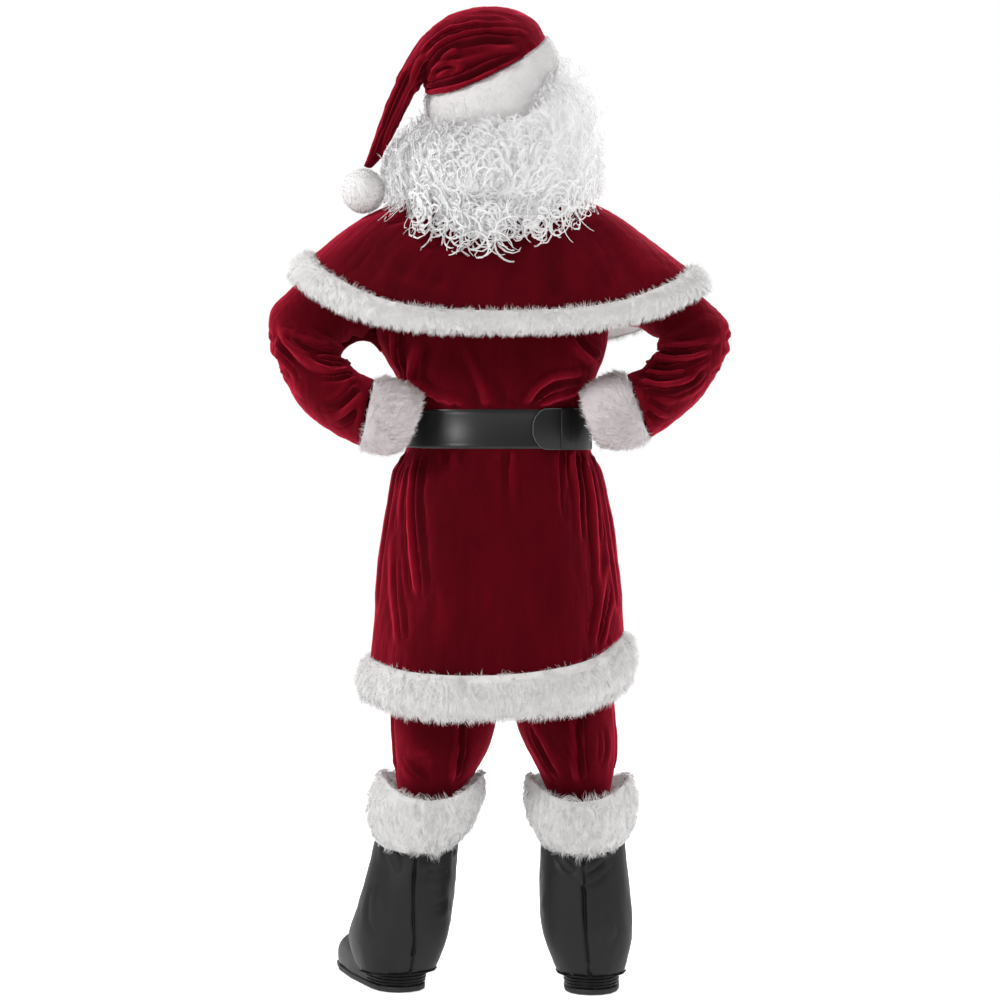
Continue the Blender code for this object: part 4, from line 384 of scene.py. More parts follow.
class StudioSettings(bpy.types.PropertyGroup):
    """The camera and its lights."""
    distance: bpy.props.FloatProperty(
        name="Distance", description="From the wearer's axis to the camera", default=4.7, unit="LENGTH")
    height: bpy.props.FloatProperty(
        name="Height", description="The camera above the floor", default=1.0, unit="LENGTH")
    view: bpy.props.FloatProperty(
        name="View", description="Width of the picture at the suit", default=1.85, unit="LENGTH")
    key: bpy.props.FloatProperty(name="Key", description="Power of the key light, in watts", default=165.0)
    fill: bpy.props.FloatProperty(name="Fill", description="Power of the fill light, in watts", default=64.0)
    glint: bpy.props.FloatProperty(
        name="Glint", description="Power of the small light that shines on the belt, in watts", default=34.0)
    sky: bpy.props.FloatProperty(name="Sky", description="Strength of the even light", default=0.44)


# ------------------------------------------------------------------ meshes and materials
def unit(rows):
    """Rows of vectors, each made one long."""
    rows = np.asarray(rows, dtype=float)
    return rows / np.maximum(np.linalg.norm(rows, axis=-1, keepdims=True), 1e-12)


def run_of(line):
    """How far along a line each of its points is."""
    return np.concatenate([[0], np.cumsum(np.linalg.norm(np.diff(line, axis=0), axis=1))])


def evened(values):
    """Each number as the mean of seven in a row."""
    return np.convolve(np.pad(values, 3, "edge"), np.ones(7) / 7, "valid")


def shade(colour, share):
    """A colour made lighter or darker."""
    return tuple(value * share for value in colour)


def box_of(node):
    """A solid's low and high corners as arrays."""
    return [np.array(corner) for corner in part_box(node)]


def facing_out(turn):
    """The level way out at an angle round the body."""
    return np.array([math.cos(turn), math.sin(turn), 0.0])


def opened(mesh):
    """A bmesh of a mesh."""
    bm = bmesh.new()
    bm.from_mesh(mesh)
    return bm


def closed_up(bm, mesh):
    """Writes a bmesh into a mesh, or into a new one of that name, and lets it go."""
    if isinstance(mesh, str):
        mesh = bpy.data.meshes.new(mesh)
    bm.to_mesh(mesh)
    bm.free()
    return mesh


def turned_out(mesh):
    """A mesh with its faces pointing outwards."""
    bm = opened(mesh)
    bmesh.ops.recalc_face_normals(bm, faces=bm.faces)
    return closed_up(bm, mesh)


def mesh_of(name, points, triangles):
    """A mesh from an array of points and one of triangles."""
    mesh = bpy.data.meshes.new(name)
    mesh.vertices.add(len(points))
    mesh.vertices.foreach_set("co", np.ascontiguousarray(points, dtype=np.float32).ravel())
    mesh.loops.add(len(triangles) * 3)
    mesh.loops.foreach_set("vertex_index", np.ascontiguousarray(triangles, dtype=np.int32).ravel())
    mesh.polygons.add(len(triangles))
    mesh.polygons.foreach_set("loop_start", np.arange(0, len(triangles) * 3, 3, dtype=np.int32))
    mesh.update(calc_edges=True)
    return mesh


def one_slot(mesh):
    """Puts all of a mesh's faces in its first slot."""
    mesh.polygons.foreach_set("material_index", np.zeros(len(mesh.polygons), dtype=np.int32))


def place_piece(name, mesh, materials, nodes):
    """Links a finished mesh as a piece that rides the suit and stands for some solids."""
    for material in materials:
        mesh.materials.append(material)
    made = bpy.data.objects.new(name, mesh)
    bpy.context.scene.collection.objects.link(made)
    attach(made, "root")
    if nodes:
        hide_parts(*nodes)
    return made


def positions(mesh):
    """The mesh's points as an array."""
    values = np.empty(len(mesh.vertices) * 3, dtype=np.float32)
    mesh.vertices.foreach_get("co", values)
    return values.reshape(-1, 3).astype(float)


def move_points(mesh, points):
    """Gives the mesh's points new places."""
    mesh.vertices.foreach_set("co", points.astype(np.float32).ravel())
    mesh.update()


def float_attribute(mesh, name, values):
    """Stores one number a point."""
    made = mesh.attributes.new(name, "FLOAT", "POINT")
    made.data.foreach_set("value", np.asarray(values, dtype=np.float32))


def preset(node, **values):
    """Sets a node's own sockets, named with underscores for spaces; a colour gets its alpha."""
    for name, value in values.items():
        socket = node.inputs[name.replace("_", " ")]
        socket.default_value = value if isinstance(value, float) else (*value, 1.0)


def new_material(name, roughness, specular):
    """A material with its node tree and its shader."""
    material = bpy.data.materials.new(name)
    material.use_nodes = True
    shader = material.node_tree.nodes["Principled BSDF"]
    preset(shader, Roughness=roughness, Specular_IOR_Level=specular)
    return material, material.node_tree, shader


def attribute(tree, name):
    """A number that the mesh carries at each point."""
    made = tree.nodes.new("ShaderNodeAttribute")
    made.attribute_name = name
    return made.outputs["Fac"]


def show_mix(tree, share, first, second, output="Material Output"):
    """Shows a mix of two shaders; share is a number or a socket."""
    mix = tree.nodes.new("ShaderNodeMixShader")
    if isinstance(share, float):
        mix.inputs[0].default_value = share
    else:
        tree.links.new(share, mix.inputs[0])
    for node, socket in ((first, mix.inputs[1]), (second, mix.inputs[2])):
        tree.links.new(node.outputs[0], socket)
    tree.links.new(mix.outputs["Shader"], tree.nodes[output].inputs["Surface"])


def noise(tree, scale, detail, stretch=(1, 1, 1)):
    """A noise on the object's own coordinates."""
    coordinates = tree.nodes.new("ShaderNodeTexCoord")
    place = tree.nodes.new("ShaderNodeMapping")
    place.inputs["Scale"].default_value = stretch
    tree.links.new(coordinates.outputs["Object"], place.inputs["Vector"])
    made = tree.nodes.new("ShaderNodeTexNoise")
    preset(made, Scale=scale, Detail=detail)
    tree.links.new(place.outputs["Vector"], made.inputs["Vector"])
    return made.outputs["Fac"]


def blend_colours(tree, factor, shader, *stops):
    """Colours a shader by a ramp of (position, colour) stops."""
    ramp = tree.nodes.new("ShaderNodeValToRGB")
    elements = ramp.color_ramp.elements
    for element, (position, colour) in zip(elements, (stops[0], stops[-1])):
        element.position = position
        element.color = (*colour, 1.0)
    for position, colour in stops[1:-1]:
        elements.new(position).color = (*colour, 1.0)
    tree.links.new(factor, ramp.inputs["Fac"])
    tree.links.new(ramp.outputs["Color"], shader.inputs["Base Color"])


def arithmetic(tree, operation, first, second):
    """A sum or product of two sockets, or of a socket and a number."""
    made = tree.nodes.new("ShaderNodeMath")
    made.operation = operation
    for socket, value in zip(made.inputs, (first, second)):
        if isinstance(value, (int, float)):
            socket.default_value = value
        else:
            tree.links.new(value, socket)
    return made.outputs["Value"]


def bump(tree, shader, height, distance, strength, under=None):
    """Presses a height into the shader's normal."""
    made = tree.nodes.new("ShaderNodeBump")
    preset(made, Distance=distance, Strength=strength)
    tree.links.new(height, made.inputs["Height"])
    if under is not None:
        tree.links.new(under, made.inputs["Normal"])
    tree.links.new(made.outputs["Normal"], shader.inputs["Normal"])
    return made.outputs["Normal"]


def velvet_material(settings):
    """Crushed velvet: a dark pile with lighter streaks, painted highlight along its raised folds and painted
    shade in their troughs, and a sheen at its edges.
    """
    material, tree, shader = new_material("suit_velvet", 0.8, 0.02)
    crush = noise(tree, 9.0, 5.0, (1, 1, 0.5))
    streak = noise(tree, 62.0, 3.0, (1, 1, 0.24))
    grain = noise(tree, 1300.0, 2.0)
    # painted light and shade from the folds, mixed with random crush, streaks and grain
    mixed = arithmetic(tree, "MULTIPLY", attribute(tree, "fold_light_and_sheen"), 0.44)
    for socket, share in ((crush, 0.32), (streak, 0.17), (grain, 0.07)):
        mixed = arithmetic(tree, "ADD", mixed, arithmetic(tree, "MULTIPLY", socket, share))
    blend_colours(tree, mixed, shader, (0.30, settings.deep), (0.50, settings.lit), (0.78, settings.raised))
    preset(shader, Sheen_Weight=0.85, Sheen_Roughness=0.24, Sheen_Tint=settings.sheen)
    coarse = bump(tree, shader, streak, 0.0012, 0.5)
    normal = bump(tree, shader, grain, 0.0004, 0.6, coarse)
    edge = tree.nodes.new("ShaderNodeLayerWeight")
    preset(edge, Blend=0.5)
    tree.links.new(coarse, edge.inputs["Normal"])
    # the sheen grows at glancing angles, and more where the colour above is lighter, the painted fold
    # highlight included
    sheen_share = arithmetic(tree, "MULTIPLY", arithmetic(tree, "POWER", edge.outputs["Facing"], 1.8),
                         arithmetic(tree, "ADD", arithmetic(tree, "MULTIPLY", mixed, 1.3), 0.05))
    pile = tree.nodes.new("ShaderNodeBsdfDiffuse")
    preset(pile, Color=settings.fold_light_and_sheen)
    tree.links.new(normal, pile.inputs["Normal"])
    show_mix(tree, sheen_share, shader, pile)
    return material


def lining_material(settings):
    """The plain back of the cloth."""
    material, _, shader = new_material("suit_lining", 0.9, 0.2)
    red, green, blue = settings.deep
    preset(shader, Base_Color=(red * 1.1, green, blue))
    return material


def let_light_through(tree, shader, share):
    """Mixes in light from behind, so thin strands don't go black inside a tuft."""
    translucency_and_glow = tree.nodes.new("ShaderNodeBsdfTranslucent")
    tree.links.new(shader.inputs["Base Color"].links[0].from_socket, translucency_and_glow.inputs["Color"])
    show_mix(tree, share, shader, translucency_and_glow)


def fur_material(settings, name, tint, root_shade_share):
    """Soft pile, darker towards its root: painted shade deep in the pile."""
    material, tree, shader = new_material(name, 0.85, 0.2)
    root, tip = (tuple(value * share for value, share in zip(colour, tint))
                 for colour in (shade(settings.root, root_shade_share), settings.colour))
    blend_colours(tree, attribute(tree, "along"), shader, (0.0, root), (0.75, tip))
    let_light_through(tree, shader, 0.45)
    return material


def hair_material(settings, name="suit_hair", painted_glow=0.10):
    """Glossy made hair that lets some light through, with a painted glow that grows towards its right side.
    """
    material, tree, shader = new_material(name, 0.42, 0.28)
    # the tone the mesh carries: on the ringlets painted light and shade round each ring, on the under-layer
    # random
    blend_colours(tree, attribute(tree, "along"), shader, (0.0, shade(settings.colour, 0.92)),
                  (1.0, settings.colour))
    # painted light: a white glow, no lamp, that grows from the middle towards the right side
    preset(shader, Emission_Color=WHITE)
    place = tree.nodes.new("ShaderNodeTexCoord")
    apart = tree.nodes.new("ShaderNodeSeparateXYZ")
    tree.links.new(place.outputs["Object"], apart.inputs["Vector"])
    translucency_and_glow = tree.nodes.new("ShaderNodeMapRange")
    preset(translucency_and_glow, From_Min=0.0, From_Max=0.14, To_Min=painted_glow, To_Max=painted_glow + 0.17)
    tree.links.new(apart.outputs["X"], translucency_and_glow.inputs["Value"])
    tree.links.new(translucency_and_glow.outputs["Result"], shader.inputs["Emission Strength"])
    let_light_through(tree, shader, 0.5)
    return material


def leather_material(name, colour, roughness, scale=900.0, depth=0.00018, shine=0.3):
    """Coated cloth with a fine grain."""
    material, tree, shader = new_material(name, roughness, shine)
    grain = noise(tree, scale, 3.0)
    patch = noise(tree, 9.0, 2.0)
    blend_colours(tree, patch, shader, (0.3, shade(colour, 0.82)), (0.7, shade(colour, 1.18)))
    bump(tree, shader, grain, depth, 0.7)
    return material


# ------------------------------------------------------------------ copies of the solids
def merged(node, join=None):
    """A bmesh of a solid with its loose triangles joined, and into quads up to an angle if one is given."""
    bm = opened(NODES[node].data)
    bmesh.ops.remove_doubles(bm, verts=bm.verts, dist=1e-5)
    bmesh.ops.recalc_face_normals(bm, faces=bm.faces)
    if join:
        bmesh.ops.join_triangles(bm, faces=bm.faces, angle_face_threshold=math.radians(join),
                                 angle_shape_threshold=math.radians(60))
    return bm


def patches(bm, crease):
    """The faces in groups that no creased edge parts."""
    seen, groups = set(), []
    for start in bm.faces:
        if start in seen:
            continue
        seen.add(start)
        group, queue = [], [start]
        while queue:
            face = queue.pop()
            group.append(face)
            beside = [other for edge in face.edges if edge[crease] == 0.0 for other in edge.link_faces]
            for other in beside:
                if other not in seen:
                    seen.add(other)
                    queue.append(other)
        groups.append(group)
    return groups


OUTER, INNER, RIM = 0, 1, 2
RIM_NARROW = 0.005          # a rim's faces are narrower than this


def mark_walls(bm, sharp):
    """Creases the sharp edges and gives outer, inner and rim faces their slots."""
    crease = bm.edges.layers.float.get("crease_edge") or bm.edges.layers.float.new("crease_edge")
    limit = math.radians(sharp)
    for edge in bm.edges:
        angle = edge.calc_face_angle(0.0) if len(edge.link_faces) == 2 else math.pi
        edge[crease] = 1.0 if angle > limit else 0.0
    middle = sum((face.calc_center_median() * face.calc_area() for face in bm.faces), Vector())
    middle /= sum(face.calc_area() for face in bm.faces)
    groups = patches(bm, crease)
    largest = max(sum(face.calc_area() for face in group) for group in groups)
    for group in groups:
        area = sum(face.calc_area() for face in group)
        narrow = sum(min(edge.calc_length() for edge in face.edges) for face in group) / len(group)
        away = sum((face.calc_center_median() - middle).dot(face.normal) * face.calc_area() for face in group)
        index = RIM if narrow < RIM_NARROW and area < 0.2 * largest else OUTER if away > 0 else INNER
        for face in group:
            face.material_index = index


def smooth_copy(node, level, fine=False, sharp=55, join=True):
    """A solid's form as a smooth mesh: slots 0, 1 and 2 are its outer, inner and rim faces."""
    bm = merged(node, 40 if join else None)
    mark_walls(bm, sharp)
    mesh = closed_up(bm, node)
    for _ in (OUTER, INNER, RIM):
        mesh.materials.append(None)
    carrier = bpy.data.objects.new(f"{node}_carrier", mesh)
    bpy.context.scene.collection.objects.link(carrier)
    rounded = carrier.modifiers.new("rounded", "SUBSURF")
    rounded.levels = rounded.render_levels = level
    graph = bpy.context.evaluated_depsgraph_get()
    baked = bpy.data.meshes.new_from_object(carrier.evaluated_get(graph))
    bpy.data.objects.remove(carrier)
    bpy.data.meshes.remove(mesh)
    if fine:
        bm = opened(baked)
        outer = {edge for face in bm.faces if face.material_index == OUTER for edge in face.edges}
        bmesh.ops.subdivide_edges(bm, edges=list(outer), cuts=1, use_grid_fill=True)
        closed_up(bm, baked)
    baked.materials.clear()
    baked.shade_smooth()
    return baked


def tree_of(points, chosen):
    """A search tree over some of the points."""
    tree = kdtree.KDTree(max(1, len(chosen)))
    for index in chosen:
        tree.insert(points[index], int(index))
    tree.balance()
    return tree


def wall_ways(mesh):
    """For each point: the way out of the cloth and how far it is from a rim."""
    bm = opened(mesh)
    bm.verts.ensure_lookup_table()
    ways = np.zeros((len(bm.verts), 3))
    known = np.zeros(len(bm.verts), dtype=bool)
    signs = {OUTER: 1.0, INNER: -1.0, RIM: 0.0}
    rims = []
    for vert in bm.verts:
        total = sum((face.normal * face.calc_area() * signs[face.material_index] for face in vert.link_faces),
                    Vector())
        if any(face.material_index == RIM for face in vert.link_faces):
            rims.append(vert.index)
        if total.length > 0:
            ways[vert.index] = total.normalized()
            known[vert.index] = True
    for vert in bm.verts:
        if not known[vert.index]:
            near = sum((Vector(ways[edge.other_vert(vert).index]) for edge in vert.link_edges), Vector())
            ways[vert.index] = near.normalized() if near.length > 0 else vert.normal
    bm.free()
    points = positions(mesh)
    tree = tree_of(points, rims)
    from_rim = np.array([tree.find(point)[2] if rims else 1.0 for point in points])
    return ways, from_rim


# ------------------------------------------------------------------ folds
VIEWS = {
    "back": (np.array([0.0, 1.0, 0.0]), 0),
    "front": (np.array([0.0, -1.0, 0.0]), 0),
    "left": (np.array([1.0, 0.0, 0.0]), 1),
    "right": (np.array([-1.0, 0.0, 0.0]), 1),
}


def surface_of(nodes):
    """One search tree over some solids."""
    points, faces = [], []
    for node in nodes:
        bm = merged(node)
        start = len(points)
        bm.verts.ensure_lookup_table()
        points += [vert.co.copy() for vert in bm.verts]
        faces += [[start + vert.index for vert in face.verts] for face in bm.faces]
        bm.free()
    return BVHTree.FromPolygons(points, faces)


def trace(surface, view, path):
    """A fold's path laid on the cloth, with its share of the length at each point, and the length."""
    look, across = VIEWS[view]
    stops = np.array([(a / 100, z / 100 - NECK_HEIGHT) for a, z in path])
    lengths = run_of(stops)
    count = max(4, int(lengths[-1] / FOLD_STEP) + 1)
    at = np.linspace(0, lengths[-1], count)
    flat = np.stack([np.interp(at, lengths, stops[:, k]) for k in (0, 1)], axis=1)
    if count > 9:
        flat = np.stack([evened(flat[:, k]) for k in (0, 1)], axis=1)
    found = []
    for a, z in flat:
        start = np.array([0.0, 0.0, z])
        start[across] = a
        start = start - look * 1.0
        place = surface.ray_cast(Vector(start), Vector(look), 1.2)[0]
        if place is None:
            place = surface.find_nearest(Vector(start + look * 0.95))[0]
        found.append(place)
    return np.array(found), at / lengths[-1], lengths[-1]


FOLD_STEP = 0.004           # between the points of a fold's line
FOLD_REACH = 4.0            # how far from its line a fold is felt, in its half widths
FOLD_LIMIT = 0.0125         # the furthest that folds together move the cloth
SHOULDER = 0.26             # the cloth pushed up beside a trough, as a share of its depth
SHOULDER_SLANT = 0.12       # how much more of that lies on one side
SHOULDER_AWAY = 1.9         # where it is highest, in half widths
SHOULDER_WIDE = 0.9
FIRM_END = 0.9              # an end this strong runs into a seam or the belt
FIRM_EASE = (1.6, 0.35, 1.0)    # its run-in in half widths, its least share and its curve
FREE_EASE = (3.4, 0.06, 1.3)    # the same at an end that dies out in the cloth
TURNED_AWAY = 0.35          # a fold weakens where the cloth faces its view less than this


def clear_of(guard, points):
    """How free the cloth is at each point: nothing under the belt, one away from it."""
    if guard is None:
        return 1.0
    bottom, top, fade = guard
    height = points[:, 2] + NECK_HEIGHT
    return np.clip(np.maximum(bottom - height, height - top) / fade, 0, 1)


def press(points, ways, surface, folds, strength, guard):
    """How far each point moves out for a table of folds."""
    moved = np.zeros(len(points))
    low, high = points.min(axis=0), points.max(axis=0)
    for view, half, depth, ends, path in folds:
        half, depth = half / 100, depth / 100
        line, share, length = trace(surface, view, path)
        reach = FOLD_REACH * half
        if np.any(line.max(axis=0) < low - reach) or np.any(line.min(axis=0) > high + reach):
            continue
        inside = np.all((points > line.min(axis=0) - reach) & (points < line.max(axis=0) + reach), axis=1)
        index = np.nonzero(inside)[0]
        if not len(index):
            continue
        gap = np.linalg.norm(points[index][:, None, :] - line[None], axis=2)
        nearest = gap.argmin(axis=1)
        away = gap[np.arange(len(index)), nearest] / half
        along = share[nearest]
        firm = np.where(along < 0.5, *ends) >= FIRM_END
        run_in, least, curve = (np.where(firm, *pair) for pair in zip(FIRM_EASE, FREE_EASE))
        from_end = np.minimum(along, 1 - along) * length / half
        ease = np.clip(from_end / run_in + least, 0, 1) ** curve
        power = np.interp(along, (0, 1), ends)
        tangent = unit(np.gradient(line, axis=0))[nearest]
        side = np.sign(np.einsum("ij,ij->i", np.cross(tangent, ways[index]), points[index] - line[nearest]))
        shoulder = np.exp(-((away - SHOULDER_AWAY) / SHOULDER_WIDE) ** 2)
        profile = np.exp(-away ** 2) - (SHOULDER + SHOULDER_SLANT * side) * shoulder
        facing = np.clip(np.abs(ways[index] @ VIEWS[view][0]) / TURNED_AWAY, 0, 1)
        moved[index] -= depth * power * ease * profile * facing
    return moved * strength * clear_of(guard, points)


RIPPLES = (0.055, 0.034, 0.021, 0.013)      # how long the small waves in worn cloth are


def ripple_of(points, height, seed):
    """Small soft unevenness of worn cloth."""
    rng = np.random.default_rng(seed)
    total = np.zeros(len(points))
    for size in RIPPLES:
        way = unit(rng.normal(size=(3, 3)) * (1.0, 1.0, 0.45))
        phase = rng.uniform(0, 6.28, 3)
        waves = np.sin(points @ way.T * 2 * math.pi / size + phase)
        total += waves.prod(axis=1) * (size / RIPPLES[0]) ** 0.5
    return total * height


ARMPIT = (0.246, 1.2035)     # how far out and how high the left armpit's arch is
ARMPIT_PANELS = ("coat_back", "coat_front_left", "coat_sleeve_left")
ARMPIT_FLAT = 0.017         # half its level part
ARMPIT_FADE = 0.012         # how fast it dies out at either side
ARMPIT_DEEP = 0.035         # the cloth this far below the arch is drawn up
ARMPIT_DRAW = 0.85          # by this share of how far below it hangs


def round_armpit(points):
    """Raises the cloth that hangs below the left armpit's arch."""
    off = np.maximum(0, np.abs(points[:, 0] + ARMPIT[0]) - ARMPIT_FLAT)
    below = ARMPIT[1] - NECK_HEIGHT - points[:, 2]
    near = (below > 0) & (below < ARMPIT_DEEP)
    points[:, 2] += np.where(near, below * ARMPIT_DRAW * np.clip(1 - off / ARMPIT_FADE, 0, 1), 0)


# The arch under the left arm: across and height above the floor, in centimetres.
GUSSET = ((-29.1, 117.0), (-28.6, 118.0), (-27.9, 118.8), (-27.0, 119.4), (-25.8, 119.95), (-24.6, 120.05),
          (-23.4, 119.8), (-22.4, 119.0), (-21.5, 117.8))
GUSSET_HALF = 0.014         # half its width, front to back
GUSSET_RISE = 0.024         # how far its long edges are drawn up into the seam
GUSSET_THICK = 0.0012
GUSSET_FROM = 1.10          # the opening is looked for from this height above the floor
GUSSET_LOOK = 0.135         # and over this distance upwards


def gusset(surface, materials):
    """A small piece of cloth set in under the left arm, its long edges up inside the seam."""
    across, height = np.array(GUSSET).T / 100
    under = {}
    for y in np.arange(-0.12, 0.12, 0.006):
        start = Vector((-ARMPIT[0], y, GUSSET_FROM - NECK_HEIGHT))
        place = surface.ray_cast(start, Vector(UP), GUSSET_LOOK)[0]
        if place is not None:
            under[y] = place[2]
    lowest = min(under, key=under.get)
    bm = bmesh.new()
    bmesh.ops.create_grid(bm, x_segments=28, y_segments=8, size=1.0)
    for vert in bm.verts:
        x = np.interp(vert.co.x, (-1, 1), (across[0], across[-1]))
        side = vert.co.y
        vert.co = (x, lowest + side * GUSSET_HALF,
                   np.interp(x, across, height) - NECK_HEIGHT + GUSSET_RISE * side ** 2)
    bmesh.ops.smooth_vert(bm, verts=bm.verts, factor=0.5, use_axis_x=False, use_axis_y=False, use_axis_z=True)
    bmesh.ops.solidify(bm, geom=bm.faces[:], thickness=GUSSET_THICK)
    bmesh.ops.recalc_face_normals(bm, faces=bm.faces)
    name = "coat_gusset_left"
    mesh = closed_up(bm, name)
    # painted shade: the gusset under the arm carries a low fold value, so it is painted darker
    float_attribute(mesh, "fold_light_and_sheen", np.full(len(mesh.vertices), 0.2))
    mesh.shade_smooth()
    return place_piece(name, mesh, materials[:1], ())


FOLD_LIGHT_EVEN = 0.45             # painted fold light and shade: its value on flat cloth
FOLD_LIGHT_DEPTH = 0.014           # a fold this high or deep changes it by one
RIM_CALM = 0.012            # the ripple grows to its height over this distance from a rim
RIM_TUCK = 0.006            # the cloth dips at a seam over this distance


def dress_cloth(name, node, surface, folds, materials, seed, fine=False, guard=None):
    """One cut piece: the solid's form, smooth, folded and tucked at its seams."""
    settings = bpy.context.scene.suit_velvet
    mesh = smooth_copy(node, 2, fine)
    ways, from_rim = wall_ways(mesh)
    points = positions(mesh)
    moved = press(points, ways, surface, folds, settings.fold_strength, guard)
    moved = np.clip(moved, -FOLD_LIMIT, FOLD_LIMIT)
    # painted light and shade: raised folds are painted lighter and troughs darker
    float_attribute(mesh, "fold_light_and_sheen", np.clip(FOLD_LIGHT_EVEN + moved / FOLD_LIGHT_DEPTH, 0, 1))
    ripple = ripple_of(points, settings.ripple, seed) * clear_of(guard, points)
    moved += ripple * np.clip(from_rim / RIM_CALM, 0.1, 1)
    moved -= settings.seam_tuck * np.clip(1 - from_rim / RIM_TUCK, 0, 1)
    points += ways * moved[:, None]
    if node in ARMPIT_PANELS:
        round_armpit(points)
    move_points(mesh, points)
    return place_piece(name, mesh, materials, (node,))


# ------------------------------------------------------------------ fur
def sample(node, count, rng, under, axis):
    """Scattered points on a solid, with the surface's way out; fewer where it faces its own axis."""
    bm = merged(node)
    bmesh.ops.triangulate(bm, faces=bm.faces)
    bm.normal_update()
    bm.verts.ensure_lookup_table()
    points = np.array([vert.co for vert in bm.verts])
    normals = np.array([vert.normal for vert in bm.verts])
    faces = np.array([[vert.index for vert in face.verts] for face in bm.faces])
    bm.free()
    edge_a = points[faces[:, 1]] - points[faces[:, 0]]
    edge_b = points[faces[:, 2]] - points[faces[:, 0]]
    area = np.linalg.norm(np.cross(edge_a, edge_b), axis=1) / 2
    middle = points[faces].mean(axis=1)
    flat = unit(np.cross(edge_a, edge_b))
    start, way = axis if axis is not None else (points.mean(axis=0), UP)
    spoke = middle - start
    spoke = unit(spoke - np.outer(spoke @ way, way))
    facing = np.einsum("ij,ij->i", flat, spoke)
    weight = area * np.clip(under + (1 - under) * (facing + 0.55), under, 1)
    chosen = rng.choice(len(faces), count, p=weight / weight.sum())
    first, second = rng.random(count), rng.random(count)
    over = first + second > 1
    first[over], second[over] = 1 - first[over], 1 - second[over]
    share = np.stack([1 - first - second, first, second], axis=1)[:, :, None]
    return (points[faces[chosen]] * share).sum(axis=1), unit((normals[faces[chosen]] * share).sum(axis=1))


def show_ways(mesh, ways):
    """Lights each point as if it faced its given way."""
    mesh.normals_split_custom_set_from_vertices(ways.reshape(-1, 3).tolist())


TUFT_FACES = ((0, 1, 3), (0, 3, 2), (2, 3, 4))      # root left, root right, middle left, middle right, tip
TUFT_ALONG = (0.1, 0.1, 0.6, 0.6, 1.0)              # how near the tip each of those is
TUFT_SPREAD = (0.62, 1.18)                          # the shortest and the longest, as shares of the length


def tufts(name, roots, normals, length, rise, lay, width, rng, spread=0.26, droop=0.40, clump=18, pull=0.34):
    """A mesh of bent tufts, three triangles each, drawn together in locks."""
    count = len(roots)
    lay = lay - normals * np.einsum("ij,ij->i", lay, normals)[:, None]
    first = unit(normals * rise + lay + rng.normal(size=(count, 3)) * spread)
    long = length * rng.uniform(*TUFT_SPREAD, (count, 1))
    mid = roots + first * long * 0.5
    second = unit(first + lay * droop + rng.normal(size=(count, 3)) * spread * 0.8)
    tip = mid + second * long * 0.5
    leaders = rng.choice(count, max(1, count // clump), replace=False)
    tree = tree_of(roots, leaders)
    leader = np.array([tree.find(root)[1] for root in roots])
    mid += (mid[leader] - mid) * pull * 0.5
    tip += (tip[leader] + (roots - roots[leader]) * 0.25 - tip) * pull
    side = unit(np.cross(first, normals + rng.normal(size=(count, 3)) * 0.45)) * width / 2
    points = np.stack([roots - side, roots + side, mid - side * 0.8, mid + side * 0.8, tip], axis=1)
    base = np.arange(count)[:, None] * points.shape[1]
    parts = []
    for face in TUFT_FACES:
        one, two, three = (points[:, k] for k in face)
        outward = np.einsum("ij,ij->i", np.cross(two - one, three - one), normals)[:, None] >= 0
        parts.append(base + np.where(outward, [face], [face[::-1]]))
    mesh = mesh_of(name, points.reshape(-1, 3), np.concatenate(parts, axis=1).reshape(-1, 3))
    tone = rng.uniform(-0.08, 0.08, (count, 1))
    float_attribute(mesh, "along", np.clip(np.array([TUFT_ALONG]) + tone, 0, 1).ravel())
    mesh.shade_smooth()
    shown = unit(normals[:, None, :] * 1.0 + first[:, None, :] * 0.45 + rng.normal(size=(count, 1, 3)) * 0.13)
    show_ways(mesh, np.repeat(shown, points.shape[1], axis=1))
    return mesh


BAND_LOWER = (1.662, 0.3365, 0.477)     # the free edge's plane: height at the axis, rise along X and along Y
BAND_DRAWN = (1.5966, 0.0, 0.125)       # the same, as the band lies over the wig behind
BAND_DEEP = 0.040           # from the crown to the band's free edge
BAND_FULLNESS = 0.010       # how much further out the drawn edge stands
BAND_FIRM = 0.004           # this close to the crown the band stays where it is
DRAWN_RIGHT = 0.115         # the band is drawn down up to here on the right
DRAWN_FRONT = 0.06          # and up to here in front
DRAWN_FADE = 0.06


def drawn_edge(x, y):
    """How high the drawn band's free edge lies over a place, how far it has come down, and its share."""
    flat = [height - NECK_HEIGHT + across * x + along * y
            for height, across, along in (BAND_LOWER, BAND_DRAWN)]
    share = np.clip((DRAWN_RIGHT - x) / DRAWN_FADE, 0, 1) * np.clip((DRAWN_FRONT - y) / DRAWN_FADE, 0, 1)
    down = np.minimum(flat[1] - flat[0], 0) * share
    return flat[0] + down, down, share


def draw_band(points):
    """Pulls the back of the hat band down over the wig, its upper edge left where it is."""
    crown = surface_of(("hat_crown",))
    away = np.array([crown.find_nearest(Vector(point))[3] for point in points])
    share = np.clip((away - BAND_FIRM) / BAND_DEEP, 0, 1)
    down, reach = drawn_edge(points[:, 0], points[:, 1])[1:]
    moved = points.copy()
    moved[:, 2] += share * down
    moved += unit(points * (1, 1, 0)) * (share * reach * BAND_FULLNESS)[:, None]
    return moved


def fur_base(name, node, shrink, material, shape, top):
    """The backing that the tufts stand in; top is the share of the shrink where it faces up."""
    mesh = smooth_copy(node, 1, join=False, sharp=100)
    points = positions(mesh)
    normals = np.empty(points.shape, dtype=np.float32)
    mesh.vertices.foreach_get("normal", normals.ravel())
    points -= normals * shrink * (1 - (1 - top) * np.clip(normals[:, 2:] * 1.5, 0, 1))
    if shape:
        points = shape(points)
    move_points(mesh, points)
    # the backing is coloured partway from the painted root shade to the tip
    float_attribute(mesh, "along", np.full(len(points), 0.55))
    one_slot(mesh)
    return place_piece(name, mesh, [material], (node,))


